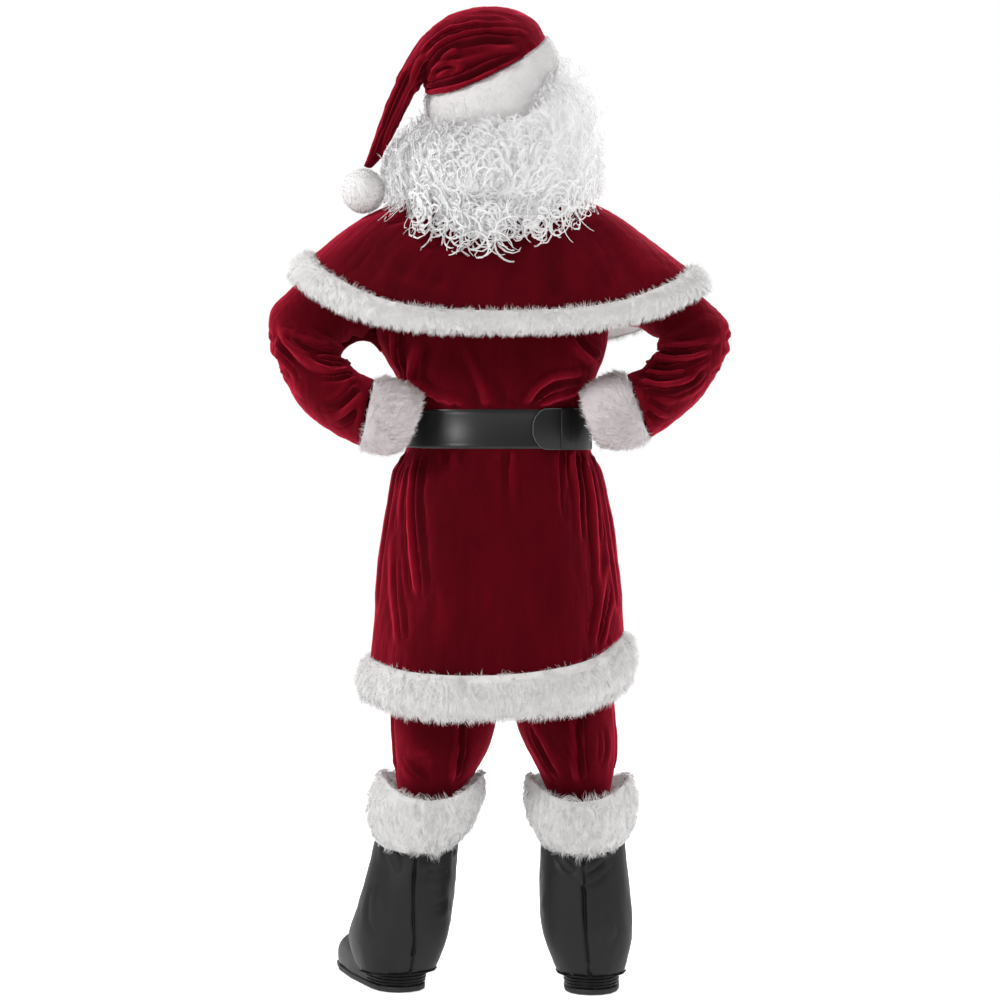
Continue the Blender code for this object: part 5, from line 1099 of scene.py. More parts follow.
def fur_piece(name, node, length, material, count, seed, rise=0.42, lay=(0, 0, -1), shrink=0.004, under=0.25,
              axis=None, width=None, shape=None, swirl=0.5, top=1.0, **how):
    """A band of fur: its backing and its tufts, whose lay wanders by swirl."""
    rng = np.random.default_rng(seed)
    base = fur_base(name, node, shrink, material, shape, top)
    roots, normals = sample(node, count, rng, under, axis)
    wander = np.stack([ripple_of(roots * 1.3, swirl, seed + 40 + k) for k in range(3)], axis=1)
    lay = np.asarray(lay, dtype=float) + wander
    roots = roots - normals * shrink
    if callable(length):
        length = length(roots)[:, None]
    pile = f"{name}_pile"
    mesh = tufts(pile, shape(roots) if shape else roots, normals, length, rise, lay,
                 width or bpy.context.scene.suit_fur.blade, rng, **how)
    place_piece(pile, mesh, [material], ())
    return base


# ------------------------------------------------------------------ ribbons, tubes and stitches
def ribbons(name, lines, sides, widths, along, shown):
    """Flat strands: lines is (strands, points, 3), sides a unit way across each, widths in metres."""
    strands, count = lines.shape[:2]
    half = sides * widths[..., None] / 2
    points = np.stack([lines - half, lines + half], axis=2).reshape(-1, 3)
    step = np.arange(count - 1) * 2
    quad = np.stack([step, step + 1, step + 3, step, step + 3, step + 2], axis=1).reshape(-1, 3)
    triangles = (quad[None] + (np.arange(strands) * count * 2)[:, None, None]).reshape(-1, 3)
    mesh = mesh_of(name, points, triangles)
    float_attribute(mesh, "along", np.repeat(along.reshape(-1), 2))
    mesh.shade_smooth()
    show_ways(mesh, np.repeat(shown.reshape(-1, 3), 2, axis=0))
    return mesh


def borders(node):
    """The edge lines of a solid's outer wall, each as ordered points and whether it closes."""
    bm = merged(node)
    mark_walls(bm, 40)
    beside = {}
    for edge in bm.edges:
        kinds = {face.material_index for face in edge.link_faces}
        if OUTER in kinds and len(kinds) == 2:
            for vert in edge.verts:
                beside.setdefault(vert, []).append(edge)
    left, chains = set(beside), []
    while left:
        ends = [vert for vert in left if len(beside[vert]) == 1]
        start = min(ends or left, key=lambda vert: vert.index)
        chain, here = [start], start
        left.discard(start)
        while True:
            after = [edge.other_vert(here) for edge in beside[here] if edge.other_vert(here) in left]
            if not after:
                break
            here = min(after, key=lambda vert: vert.index)
            left.discard(here)
            chain.append(here)
        closed = any(edge.other_vert(here) is start for edge in beside[here]) and len(chain) > 2
        if len(chain) > 3:
            chains.append((np.array([vert.co for vert in chain]), closed))
    bm.free()
    return chains


def spaced(line, step, closed):
    """Points at even steps along a line."""
    line = np.concatenate([line, line[:1]]) if closed else line
    run = run_of(line)
    at = np.linspace(0, run[-1], max(3, int(run[-1] / step) + 1))
    found = np.stack([np.interp(at, run, line[:, k]) for k in range(3)], axis=1)
    return found[:-1] if closed else found


def part_of(line, part):
    """The stretch of a closed line's points that a mask keeps."""
    start = int(np.argmin(part)) if not part.all() else 0
    return np.roll(line, -start, axis=0)[np.roll(part, -start)]


def softened(line, closed):
    """A line with its small corners rounded."""
    for _ in range(2):
        ends = (line[-1:], line[:1]) if closed else (line[:1], line[-1:])
        grown = np.concatenate([ends[0], line, ends[1]])
        line = (grown[:-2] + 2 * grown[1:-1] + grown[2:]) / 4
    return line


def inside_rows(node, inset, step):
    """The strap's long edges, moved in by inset over its own surface, with the way out at each point."""
    surface = surface_of((node,))
    low, high = box_of(node)
    middle = (low[2] + high[2]) / 2
    rows = []
    for line, closed in borders(node):
        for side in (-1, 1):
            part = np.abs(line[:, 2] - middle - side * (high[2] - low[2]) / 2) < 0.006
            if np.count_nonzero(part) < 4:
                continue
            points = spaced(part_of(line, part), step, closed and part.all())
            points[:, 2] -= side * inset
            beside = points + unit(points * (1, 1, 0)) * 0.02
            found = [surface.find_nearest(Vector(point))[:2] for point in beside]
            rows.append(tuple(np.array(part) for part in zip(*found)))
    return rows


STITCH_FACES = tuple((a, b, c) if c == 4 else (b, a, c) for c in (4, 5)
                     for a, b in ((0, 2), (2, 1), (1, 3), (3, 0)))


def stitches(rows, long, wide):
    """A mesh of small stitches along some rows."""
    points, faces = [], []
    for line, ways in rows:
        tangent = unit(np.gradient(line, axis=0)) * long / 2
        side = unit(np.cross(tangent, ways)) * wide / 2
        out = ways * wide * 0.5
        grown = np.stack([line + way for way in (tangent, -tangent, side, -side, out, -out)], axis=1)
        base = np.arange(len(line))[:, None] * 6 + sum(len(part) for part in points)
        points.append(grown.reshape(-1, 3))
        faces += [base + face for face in STITCH_FACES]
    return turned_out(mesh_of("stitches", np.concatenate(points), np.concatenate(faces)))


def join_pieces(name, meshes, material):
    """Several meshes as one piece."""
    bm = bmesh.new()
    for mesh in meshes:
        bm.from_mesh(mesh)
        bpy.data.meshes.remove(mesh)
    joined = closed_up(bm, name)
    joined.shade_smooth()
    return place_piece(name, joined, [material], ())


def tube(line, radius, sides, closed=False):
    """The mesh of a round cord through some points."""
    line = np.asarray(line, dtype=float)
    count = len(line)
    tangent = np.roll(line, -1, axis=0) - np.roll(line, 1, axis=0) if closed else np.gradient(line, axis=0)
    tangent = unit(tangent)
    guide = np.where(np.abs(tangent[:, 2:3]) > 0.8, np.array([[0.0, 1.0, 0.0]]), UP[None])
    first = unit(np.cross(tangent, guide))
    second = np.cross(first, tangent)
    turn = np.arange(sides) * 2 * math.pi / sides
    ring = first[:, None] * np.cos(turn)[None, :, None] + second[:, None] * np.sin(turn)[None, :, None]
    points = (line[:, None] + ring * radius).reshape(-1, 3)
    faces = []
    for k in range(count if closed else count - 1):
        near, far = k * sides, (k + 1) % count * sides
        for j in range(sides):
            after = (j + 1) % sides
            faces += [(near + j, near + after, far + after), (near + j, far + after, far + j)]
    if not closed:
        for start in (0, (count - 1) * sides):
            faces += [(start, start + j + 1, start + j) for j in range(1, sides - 1)]
    return turned_out(mesh_of("cord", points, np.array(faces)))


# ------------------------------------------------------------------ the pieces
def coat_materials():
    """Velvet outside and at the rims, lining within."""
    settings = bpy.context.scene.suit_velvet
    velvet = bpy.data.materials.get("suit_velvet") or velvet_material(settings)
    lining = bpy.data.materials.get("suit_lining") or lining_material(settings)
    return [velvet, lining, velvet]


def shared_fur(name="suit_fur", tint=(1.0, 1.0, 1.0), root_shade_share=1.0):
    """The fur's material, made once."""
    return bpy.data.materials.get(name) or fur_material(bpy.context.scene.suit_fur, name, tint, root_shade_share)


# No folds lie between these heights above the floor; the last number is how fast they stop.
BELT_GUARD = (1.001, 1.073, 0.012)
COAT_NODES = ("coat_back", "coat_front_left", "coat_front_right", "coat_sleeve_left", "coat_sleeve_right")


class SUIT_OT_coat(bpy.types.Operator):
    """Makes the coat's velvet panels and sleeves"""
    bl_idname = "suit.coat"
    bl_label = "Coat"

    def execute(self, context):
        surface = surface_of(COAT_NODES)
        folds = COAT_FOLDS + SLEEVE_FOLDS
        materials = coat_materials()
        sides = (f"coat_{part}_{side}" for side in ("left", "right") for part in ("front", "sleeve"))
        for node in ("coat_back", *sides):
            dress_cloth(f"{node}_cloth", node, surface, folds, materials, fine="front" not in node,
                        guard=None if "sleeve" in node else BELT_GUARD, seed=1)
        gusset(surface, materials)
        return {"FINISHED"}


class SUIT_OT_cape(bpy.types.Operator):
    """Makes the shoulder cape and its band of fur"""
    bl_idname = "suit.cape"
    bl_label = "Cape"

    def execute(self, context):
        settings = context.scene.suit_fur
        dress_cloth("cape_cloth", "cape_body", surface_of(("cape_body",)), CAPE_FOLDS, coat_materials(),
                    fine=True, seed=2)
        fur_piece("cape_trim", "cape_fur", settings.cape_length, shared_fur(), count=39000, seed=11)
        return {"FINISHED"}


class SUIT_OT_trousers(bpy.types.Operator):
    """Makes the four panels of the trousers"""
    bl_idname = "suit.trousers"
    bl_label = "Trousers"

    def execute(self, context):
        nodes = [f"trousers_{face}_{side}" for face in ("back", "front") for side in ("left", "right")]
        surface = surface_of(nodes)
        for node in nodes:
            dress_cloth(f"{node}_cloth", node, surface, TROUSER_FOLDS, coat_materials(), seed=3)
        return {"FINISHED"}


BOOT_FUR_POINT = {"left": 0.58, "right": 0.50}      # where across the boot its fur hangs lowest
BOOT_FUR_WIDE = 0.036                               # and over what width


def boot_pile(side, length):
    """How long a boot's fur is at its roots: longest where it hangs lowest."""
    left, right = (corner[0] for corner in box_of(f"boot_{side}_fur"))
    point = left + (right - left) * BOOT_FUR_POINT[side]
    return lambda roots: length * (0.7 + 0.6 * np.exp(-((roots[:, 0] - point) / BOOT_FUR_WIDE) ** 2))


class SUIT_OT_fur(bpy.types.Operator):
    """Makes the hem's, the cuffs' and the boots' fur"""
    bl_idname = "suit.fur"
    bl_label = "Hem, cuffs and boot tops"

    def execute(self, context):
        settings = context.scene.suit_fur
        fur_piece("coat_hem", "coat_hem_fur", settings.hem_length,
                  shared_fur("suit_hem_fur", (0.96, 0.96, 0.96)), count=32000, seed=12, top=0.1)
        for side, inwards in (("left", 0.82), ("right", -0.82)):
            middle = sum(box_of(f"coat_cuff_{side}")) / 2
            way = unit(np.array([inwards, 0.35, 0.30]))
            fur_piece(f"cuff_{side}", f"coat_cuff_{side}", settings.cuff_length,
                      shared_fur("suit_cuff_fur", (0.84, 0.80, 0.81)), count=8000, seed=13,
                      lay=way, axis=(middle, way))
            # the boots' fur is painted darker at its roots, as shade between its clumps
            fur_piece(f"boot_{side}_trim", f"boot_{side}_fur", boot_pile(side, settings.boot_length),
                      shared_fur("suit_boot_fur", (0.97, 0.97, 0.97), 0.85), count=15000, seed=14,
                      shrink=0.006, under=0.5, swirl=0.75, clump=34, pull=0.55)
        return {"FINISHED"}


class SUIT_OT_hat(bpy.types.Operator):
    """Makes the hat, its plush band and its pompom"""
    bl_idname = "suit.hat"
    bl_label = "Hat"

    def execute(self, context):
        settings = context.scene.suit_fur
        dress_cloth("hat_cloth", "hat_crown", surface_of(("hat_crown",)), HAT_FOLDS, coat_materials(),
                    fine=True, seed=4)
        plush = shared_fur("suit_plush", (0.90, 0.89, 0.895), 1.08)
        fur_piece("hat_trim", "hat_band", settings.band_length, plush, count=14000, seed=15, rise=0.4,
                  shrink=0.002, spread=0.25, pull=0.1, under=0.1, width=0.0007, shape=draw_band, swirl=0.2)
        fluff = shared_fur("suit_pompom", (1.03, 1.03, 1.03), 1.1)
        base = fur_piece("pompom", "hat_pompom", settings.pompom_length, fluff, count=9000, seed=16, rise=1.2,
                         under=1.0, spread=0.5, pull=0.1, width=0.0007, swirl=0.3)
        return {"FINISHED"}


# ------------------------------------------------------------------ the wig
# How low the curls hang behind: across in cm, height above the floor in cm.
HAIR_ENDS = ((-19.0, 141.0), (-15.6, 138.8), (-12.6, 137.6), (-10.0, 134.6), (-6.8, 133.6), (-2.7, 134.2),
             (2.0, 134.2), (4.7, 136.4), (9.4, 136.0), (12.0, 138.4), (15.0, 141.6), (17.5, 144.8))
HAIR_SIDE_END = 145.5       # at the sides and in front
HAIR_COLUMNS = 96           # ways round for which the wig's form is taken
HAIR_STEPS = 22             # points along a strand
HAIR_FROM, HAIR_TO, HAIR_ROW = 1.760, 1.300, 0.003      # the heights at which it is taken, above the floor
HAIR_RAYS = (0.45, 0.43)    # how far from the axis they start, and how long they are
HAIR_LEAST = 20             # a way round with fewer rows of curls than this has no hair
HAIR_FLOAT = 0.006          # hair above the cape
HAIR_OVER_CAP = 0.012       # hair above the cap
HAIR_FRINGE = 0.040         # the open loops below the full curls
HAIR_CLOSE = 12             # rows over which a dip in the hair is bridged


def widest(values, pick, rows):
    """Each value replaced by the one that pick prefers within some rows of it."""
    found = values.copy()
    for shift in range(1, rows + 1):
        found[shift:] = pick(found[shift:], values[:-shift])
        found[:-shift] = pick(found[:-shift], values[shift:])
    return found


def hair_profile():
    """For each way round: heights down the wig and on over the cape, and the radius at each."""
    axis = sum(box_of("wig_curls")) / 2 * (1, 1, 0)
    layers = [(surface_of((node,)), lift) for node, lift in (
        ("wig_curls", 0.0), ("cape_body", HAIR_FLOAT), ("wig_cap", HAIR_OVER_CAP), ("hat_band", 0.0))]
    heights = np.arange(HAIR_FROM - NECK_HEIGHT, HAIR_TO - NECK_HEIGHT, -HAIR_ROW)
    radius = np.full((HAIR_COLUMNS, len(heights)), np.nan)
    for column in range(HAIR_COLUMNS):
        out = facing_out(column * 2 * math.pi / HAIR_COLUMNS)
        reach = np.zeros((len(layers), len(heights)))
        for row, height in enumerate(heights):
            start = Vector(axis + out * HAIR_RAYS[0] + UP * height)
            for k, (surface, lift) in enumerate(layers):
                far = surface.ray_cast(start, Vector(-out), HAIR_RAYS[1])[3]
                if far is not None:
                    reach[k, row] = HAIR_RAYS[0] - far + lift
        if np.count_nonzero(reach[0]) < HAIR_LEAST:
            continue
        banded = np.nonzero(reach[3])[0]
        top = np.nonzero(reach[0])[0][0] if not len(banded) else max(0, banded[-1] - 3)
        if out[1] < 0.3 and len(banded):        # behind and beside, where the band is drawn down
            edge = drawn_edge(*(axis + out * 0.125)[:2])[0] + 0.010
            top = max(top, int(np.argmax(heights < edge)))
        found = reach[:3].max(axis=0)
        found[:top] = 0
        under_band = slice(top, min(top + 6, len(found)))
        found[under_band] = np.maximum(found[under_band], reach[3].max() * 0.97)
        bridged = widest(widest(found, np.maximum, HAIR_CLOSE), np.minimum, HAIR_CLOSE)
        radius[column] = np.where(found > 0, np.maximum(bridged, found), np.nan)
    return axis, heights, radius


def hair_end(x, behind):
    """The height above the floor at which the curls end."""
    across, ends = np.array(HAIR_ENDS).T
    back = np.interp(x * 100, across, ends)
    return np.where(behind > 0, back * behind + HAIR_SIDE_END * (1 - behind), HAIR_SIDE_END) / 100


LOCK_LENGTH = (0.065, 0.100)
FRINGE_LENGTH = (0.075, 0.110)
# Dense locks cover the wig, halo locks stand off its sides and fringe locks hang below the others.
# The depth of a lock is a share of its radius, and its lean is how far it turns from end to end.
LOCK_DEPTH = {"dense": (0.20, 0.45), "halo": (0.3, 0.6), "fringe": (0.08, 0.22)}
LOCK_LEAN = {"dense": 0.10, "halo": 0.22, "fringe": 0.22}
LOCK_RAISED = 0.006         # a lock starts this far above its place


def hair_run(shape, turn):
    """A way round from the top down: its run, heights and radii, or nothing where there is no hair."""
    heights, radius = shape[1:]
    profile = radius[np.round(turn / (2 * math.pi) * HAIR_COLUMNS).astype(int) % HAIR_COLUMNS]
    known = np.nonzero(~np.isnan(profile))[0]
    if len(known) < 8:
        return None
    rows = heights[known[0]:known[-1] + 1]
    soft = evened(np.interp(-rows, -heights[known], profile[known]))
    return np.concatenate([[0], np.cumsum(np.hypot(np.diff(soft), np.diff(rows)))]), rows, soft


def lock_place(rng, zone, last, behind):
    """A lock's length, where along the run it ends and how far it is raised, or nothing without room."""
    length = rng.uniform(*LOCK_LENGTH)
    if last < length + 0.01:
        return None
    if zone == "fringe":
        length = rng.uniform(*FRINGE_LENGTH)
        return length, last + rng.uniform(-0.034, 0.006), LOCK_RAISED
    if zone == "halo":
        finish = length + (last * 0.75 - length) * rng.random() ** 1.3
        return length, finish, rng.uniform(LOCK_RAISED, 0.022)
    last -= HAIR_FRINGE * behind
    finish = length + (last - length) * rng.random() ** 0.85
    chance = rng.random()
    if chance < 0.16:           # more of them along the lower edge and at the top
        finish = last - rng.uniform(0, 0.022)
    elif chance > 0.84:
        finish = length + rng.uniform(0, 0.010)
    return length, finish, LOCK_RAISED


def make_locks(shape, name, count, turn_range, seed, material, strands, zone="dense", curl=1.0,
               away=(-0.002, 0.006), loose=1.0, thick=1.0):
    """Ringlets that follow the wig and the cape, as thin flat strands."""
    settings = bpy.context.scene.suit_wig
    rng = np.random.default_rng(seed)
    axis = shape[0]
    made = []
    step = np.linspace(0, 1, HAIR_STEPS)
    for turn in rng.uniform(*np.array(turn_range) * math.pi, count):
        laid = hair_run(shape, turn)
        if laid is None:
            continue
        run, rows, soft = laid
        behind = float(np.clip(-math.sin(turn) * 2.2, 0, 1))
        end = float(hair_end(axis[0] + 0.14 * math.cos(turn), behind)) - NECK_HEIGHT
        placed = lock_place(rng, zone, np.interp(-end, -rows, run), behind)
        if placed is None:
            continue
        length, finish, raised = placed
        at = finish - length + step * length
        z = np.interp(at, run, rows) + raised
        r = np.interp(at, run, soft)
        wide_curl = settings.curl * curl * rng.uniform(0.65, 1.25)
        pitch = settings.pitch * rng.uniform(0.85, 1.3) * curl ** 0.5
        phase = rng.uniform(0, 6.28)
        sense = rng.choice((-1.0, 1.0))
        lean = rng.normal() * LOCK_LEAN[zone]
        off = rng.uniform(*away) + 0.010 * rng.random() ** 4
        lift = rng.uniform(*LOCK_DEPTH[zone])
        slope = unit(np.stack([np.gradient(r), np.gradient(z)], axis=1))
        for strand in range(strands):
            fall = phase + rng.normal() * 0.22 * loose
            wide = wide_curl * (1 + rng.normal() * 0.10 * loose)
            wide = wide * np.interp(step, (0, 0.15, 1), (0.5, 1.0, 0.92))
            angle = sense * (at - at[0]) / pitch * 2 * math.pi + fall
            around = turn + lean * step + rng.normal() * 0.012 * loose
            out = np.stack([np.cos(around), np.sin(around), np.zeros(HAIR_STEPS)], axis=1)
            over = np.cross(UP, out)
            down = out * slope[:, :1] + UP * slope[:, 1:]
            above = UP * slope[:, :1] - out * slope[:, 1:]
            height = off + wide_curl * lift + rng.normal() * 0.0016 * loose
            middle = axis + out * r[:, None] + UP * z[:, None] + above * height
            middle -= down * rng.normal() * 0.002 * loose
            ring = np.cos(angle)[:, None] * over + np.sin(angle)[:, None] * (above * lift - down * 0.85)
            line = middle + wide[:, None] * ring
            tangent = unit(np.gradient(line, axis=0))
            made.append((
                line,
                unit(np.cross(tangent, above + 0.4 * over * math.cos(strand))),
                settings.width * thick * np.interp(step, (0, 0.8, 1), (0.9, 1.0, 0.35)),
                # painted light and shade: a strand is painted lighter on the upper, outer part of each ring
                # and darker under it, with random tone
                np.clip(0.62 + 0.25 * np.sin(angle) + rng.normal() * 0.14, 0, 1),
                unit(above + ring * 0.22 + UP * 0.15 + rng.normal(size=3) * 0.06)))
    return place_piece(name, ribbons(name, *(np.array(part) for part in zip(*made))), [material], ())


class SUIT_OT_wig(bpy.types.Operator):
    """Makes the wig's cap, its under-layer and its ringlets"""
    bl_idname = "suit.wig"
    bl_label = "Wig"

    def execute(self, context):
        settings = context.scene.suit_wig
        hair = hair_material(settings)
        # the under-layer gets a stronger painted glow, to lift it where it lies in shade
        under = hair_material(settings, "suit_hair_under", 0.20)
        mesh = smooth_copy("wig_curls", 2)
        points = positions(mesh)
        ways = wall_ways(mesh)[0]
        points += ways * (ripple_of(points, 0.0022, 21) - 0.001)[:, None]
        move_points(mesh, points)
        float_attribute(mesh, "along", np.clip(0.4 + ripple_of(points * 1.7, 0.5, 22), 0, 1))
        net = leather_material("suit_net", (0.55, 0.54, 0.53), 0.7, scale=1500.0, depth=0.0003)
        place_piece("wig_under", mesh, [under, net, under], ("wig_curls", "wig_fringe"))
        cap = smooth_copy("wig_cap", 2)
        one_slot(cap)
        place_piece("wig_net", cap, [net], ("wig_cap",))
        shape = hair_profile()
        half = settings.locks // 2
        strands = settings.strands
        for name, count, turns, seed, how in (
                ("wig_curls_back", int(half * 1.34), (1.0, 2.0), 31, dict(strands=strands, loose=0.6)),
                ("wig_curls_front", int(half * 0.66), (0.0, 1.0), 32, dict(strands=strands, loose=0.6)),
                ("wig_fringe_loops", 120, (1.04, 1.96), 33,
                 dict(zone="fringe", strands=4, curl=1.75, away=(0.005, 0.009), loose=0.26, thick=1.8)),
                ("wig_loops_left", 40, (0.86, 1.24), 34,
                 dict(zone="halo", strands=3, curl=1.1, away=(0.000, 0.012), loose=0.6)),
                ("wig_loops_right", 52, (-0.24, 0.14), 35,
                 dict(zone="halo", strands=3, curl=1.1, away=(0.004, 0.018), loose=0.6))):
            make_locks(shape, name, count, turns, seed, hair, **how)
        return {"FINISHED"}


# ------------------------------------------------------------------ belt and boots
def plain_copy(name, node, material, bevel):
    """A solid's own form with its edges softened, in one material."""
    bm = merged(node, 30)
    edges = [edge for edge in bm.edges if edge.calc_face_angle(0.0) > math.radians(30)]
    bmesh.ops.bevel(bm, geom=edges, affect="EDGES", offset=bevel, segments=2, profile=0.5, material=-1,
                    clamp_overlap=True)
    mesh = closed_up(bm, name)
    mesh.shade_smooth()
    mesh.set_sharp_from_angle(angle=math.radians(50))
    return place_piece(name, mesh, [material], (node,))


BELT_EDGING = 0.0065        # the edging and the stitches, in from the strap's edge
BELT_SEAM = 0.0095


class SUIT_OT_belt(bpy.types.Operator):
    """Makes the belt, its rounded end and its keeper"""
    bl_idname = "suit.belt"
    bl_label = "Belt"

    def execute(self, context):
        settings = context.scene.suit_leather
        leather = leather_material("suit_belt", settings.belt, 0.31, scale=700.0, depth=0.00016)
        for node in ("belt_strap", "belt_end", "belt_keeper"):
            plain_copy(f"{node}_leather", node, leather, bevel=0.0008)
        edging = [tube(points[::3] + ways[::3] * 0.0002, radius=0.0007, sides=5)
                  for points, ways in inside_rows("belt_strap", BELT_EDGING, settings.stitch_step)]
        join_pieces("belt_edging", edging, leather)
        thread = leather_material("suit_thread", shade(settings.belt, 3.0), 0.6)
        seams = stitches(inside_rows("belt_strap", BELT_SEAM, settings.stitch_step), long=0.0032, wide=0.0009)
        join_pieces("belt_stitches", [seams], thread)
        # a paler line round the belt's rounded end
        pale_edge = leather_material("suit_belt_edge", shade(settings.belt, 9.0), 0.4)
        trim = [tube(spaced(line, 0.002, closed), radius=0.0008, sides=6, closed=closed)
                for line, closed in borders("belt_end")]
        join_pieces("belt_end_edge", trim, pale_edge)
        return {"FINISHED"}


HEEL_RIBS = (0.022, 0.028, 0.034, 0.040)     # above the floor
HEEL_DEEP = 0.06                             # from the heel's back to the point that it is measured round
PIPING_NEAR = 0.006                          # a shaft's edge this near its foot is piped


def heel_line(node, height):
    """A level line round the back of a foot."""
    surface = surface_of((node,))
    low, high = box_of(node)
    middle = np.array([(low[0] + high[0]) / 2, low[1] + HEEL_DEEP, height - NECK_HEIGHT])
    line = []
    for turn in np.linspace(math.pi, math.pi * 2, 32):
        out = facing_out(turn)
        place = surface.ray_cast(Vector(middle + out * 0.3), Vector(-out), 0.3)[0]
        if place is not None:
            line.append(place)
    return np.array(line)


class SUIT_OT_boots(bpy.types.Operator):
    """Makes the boots' shafts, feet and soles"""
    bl_idname = "suit.boots"
    bl_label = "Boots"

    def execute(self, context):
        settings = context.scene.suit_leather
        leather = leather_material("suit_boot", settings.boot, 0.50, scale=1100.0, shine=0.19)
        rubber = leather_material("suit_sole", settings.sole, 0.6, scale=500.0, depth=0.0002)
        piping = leather_material("suit_piping", shade(settings.boot, 0.4), 0.42, shine=0.1)
        shoe = leather_material("suit_shoe", shade(settings.boot, 0.42), 0.40, shine=0.12)
        for side in ("left", "right"):
            nodes = [f"boot_{side}_shaft_inner", f"boot_{side}_shaft_outer", f"boot_{side}_foot"]
            surface = surface_of(nodes)
            for node in nodes:
                material = leather if "shaft" in node else shoe
                dress_cloth(f"{node}_cover", node, surface, BOOT_FOLDS, [material] * 3,
                            seed=5)
            plain_copy(f"boot_{side}_tread", f"boot_{side}_sole", rubber, bevel=0.0015)
            cords = []
            for node in nodes[:2]:
                low, high = box_of(node)
                for line, closed in borders(node):
                    part = line[:, 2] < low[2] + PIPING_NEAR
                    if "outer" in node:
                        part |= line[:, 1] < (low[1] + high[1]) / 2 - 0.02
                    if np.count_nonzero(part) > 3:
                        whole = closed and part.all()
                        run = softened(spaced(part_of(line, part), 0.004, whole), whole)
                        cords.append(tube(run, settings.welt, sides=6, closed=whole))
            join_pieces(f"boot_{side}_piping", cords, piping)
            foot = f"boot_{side}_foot"
            ribs = [tube(heel_line(foot, height), radius=0.0011, sides=6) for height in HEEL_RIBS]
            join_pieces(f"boot_{side}_ribs", ribs, shoe)
        return {"FINISHED"}


# ------------------------------------------------------------------ the stage
FLOOR_GAP = 0.0015          # the floor lies this far below the soles
LIT_POINT = Vector((0, 0, -0.35))       # what the lights are turned to
VIEW_MIDDLE = 0.9065        # the height above the floor that the picture is centred on
VIEW_ACROSS = 0.0037        # and where across


def make_floor(scene):
    """A sheet of paper under the soles."""
    bm = bmesh.new()
    bmesh.ops.create_grid(bm, x_segments=1, y_segments=1, size=12.0)
    bmesh.ops.translate(bm, vec=(0, 0, CAD_BOX[0][2] - FLOOR_GAP), verts=bm.verts)
    floor_mesh = closed_up(bm, "floor")
    paper, _, shader = new_material("floor_paper", 0.9, 0.0)
    preset(shader, Base_Color=(0.92, 0.92, 0.92), Emission_Color=WHITE, Emission_Strength=0.62)
    floor_mesh.materials.append(paper)
    floor = bpy.data.objects.new("floor", floor_mesh)
    scene.collection.objects.link(floor)


def make_sky(scene, settings):
    """Even light from all sides before a white ground."""
    world = bpy.data.worlds.new("studio")
    scene.world = world
    world.use_nodes = True
    tree = world.node_tree
    tree.nodes.clear()
    output = tree.nodes.new("ShaderNodeOutputWorld")
    even, seen = (tree.nodes.new("ShaderNodeBackground") for _ in range(2))
    preset(even, Color=WHITE, Strength=settings.sky)
    preset(seen, Color=WHITE)
    path = tree.nodes.new("ShaderNodeLightPath")
    show_mix(tree, path.outputs["Is Camera Ray"], even, seen, output.name)


def make_lamps(scene, settings):
    """The key, two fills and the small light on the belt."""
    for name, place, size, power in (
            ("key", (-3.1, -2.0, 2.0), 1.2, settings.key),
            ("fill", (3.2, -1.4, 1.1), 1.4, settings.fill),
            ("glint", (-1.7, -3.15, -0.25), 0.5, settings.glint),
            ("front_fill", (1.5, 3.0, 1.5), 2.2, settings.fill * 1.4)):
        lamp = bpy.data.lights.new(name, "AREA")
        lamp.energy = power
        lamp.size = size
        made = bpy.data.objects.new(name, lamp)
        made.location = place
        aim = LIT_POINT - Vector(place)
        made.rotation_euler = aim.to_track_quat("-Z", "Y").to_euler()
        made.visible_diffuse = name != "glint"
        scene.collection.objects.link(made)


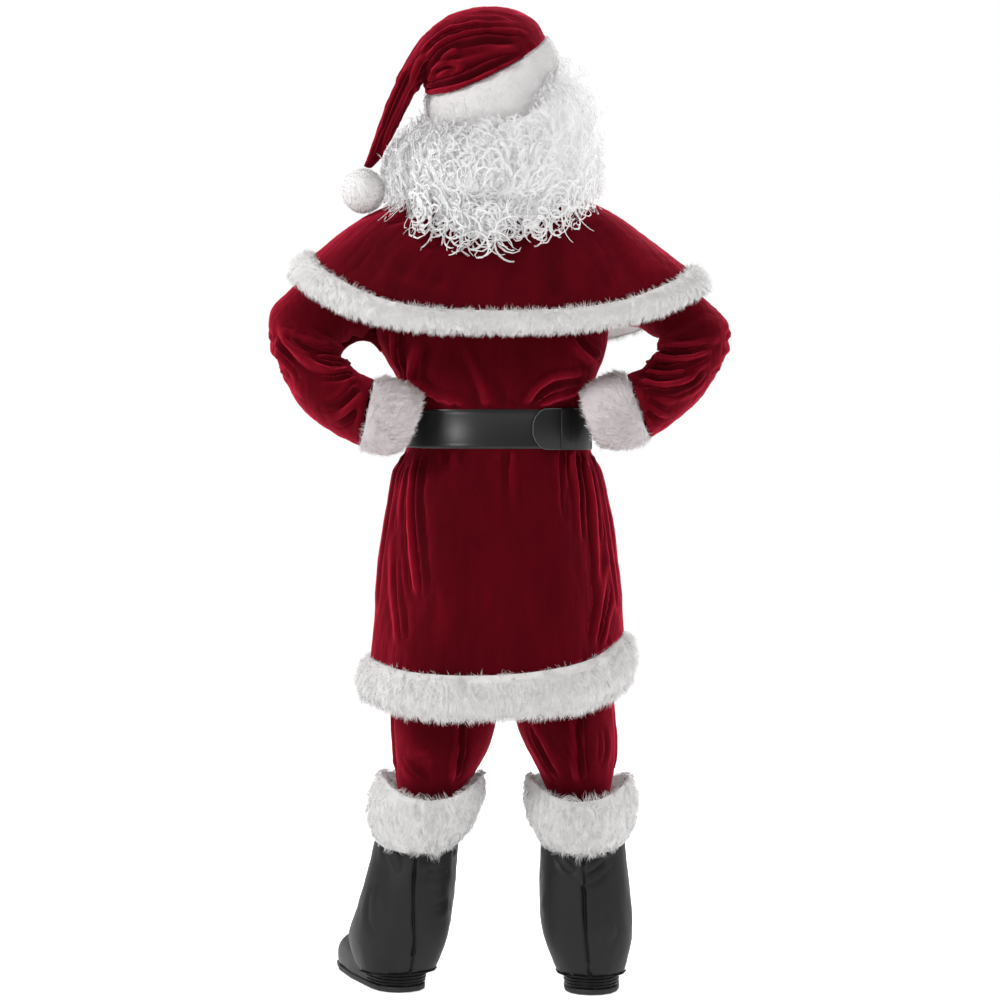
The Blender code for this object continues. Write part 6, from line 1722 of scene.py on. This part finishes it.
def make_camera(scene, settings):
    """A level camera behind the suit."""
    lens = bpy.data.cameras.new("camera")
    lens.sensor_width = 36.0
    lens.lens = 36.0 * settings.distance / settings.view
    lens.shift_y = (VIEW_MIDDLE - settings.height) / settings.view
    lens.clip_end = 50.0
    camera = bpy.data.objects.new("camera", lens)
    camera.location = (VIEW_ACROSS, -settings.distance, settings.height - NECK_HEIGHT)
    camera.rotation_euler = (math.radians(90), 0, 0)
    scene.collection.objects.link(camera)
    scene.camera = camera


class SUIT_OT_stage(bpy.types.Operator):
    """Makes the floor, the lights and the camera"""
    bl_idname = "suit.stage"
    bl_label = "Stage"

    def execute(self, context):
        scene = context.scene
        make_floor(scene)
        for make in (make_sky, make_lamps, make_camera):
            make(scene, scene.suit_studio)
        scene.view_settings.view_transform = "Standard"
        return {"FINISHED"}


OPERATORS = (SUIT_OT_coat, SUIT_OT_cape, SUIT_OT_trousers, SUIT_OT_fur, SUIT_OT_hat, SUIT_OT_wig,
             SUIT_OT_belt, SUIT_OT_boots, SUIT_OT_stage)
GROUPS = {"suit_velvet": VelvetSettings, "suit_fur": FurSettings, "suit_wig": WigSettings,
          "suit_leather": LeatherSettings, "suit_studio": StudioSettings}


class SUIT_PT_panel(bpy.types.Panel):
    """Lists the settings and the operators"""
    bl_idname = "SUIT_PT_panel"
    bl_label = "Santa Suit"
    bl_space_type = "VIEW_3D"
    bl_region_type = "UI"
    bl_category = "Santa Suit"

    def draw(self, context):
        for group, kind in GROUPS.items():
            box = self.layout.box()
            for name in kind.__annotations__:
                box.prop(getattr(context.scene, group), name)
        for operator in OPERATORS:
            self.layout.operator(operator.bl_idname)


def register():
    for kind in (*GROUPS.values(), *OPERATORS, SUIT_PT_panel):
        bpy.utils.register_class(kind)
    for name, kind in GROUPS.items():
        setattr(bpy.types.Scene, name, bpy.props.PointerProperty(type=kind))


def unregister():
    for name in GROUPS:
        delattr(bpy.types.Scene, name)
    for kind in (SUIT_PT_panel, *reversed(OPERATORS), *reversed(tuple(GROUPS.values()))):
        bpy.utils.unregister_class(kind)


def main():
    """Makes every piece."""
    register()
    for operator in OPERATORS:
        group, name = operator.bl_idname.split(".")
        getattr(getattr(bpy.ops, group), name)()


if __name__ == "__main__":
    main()
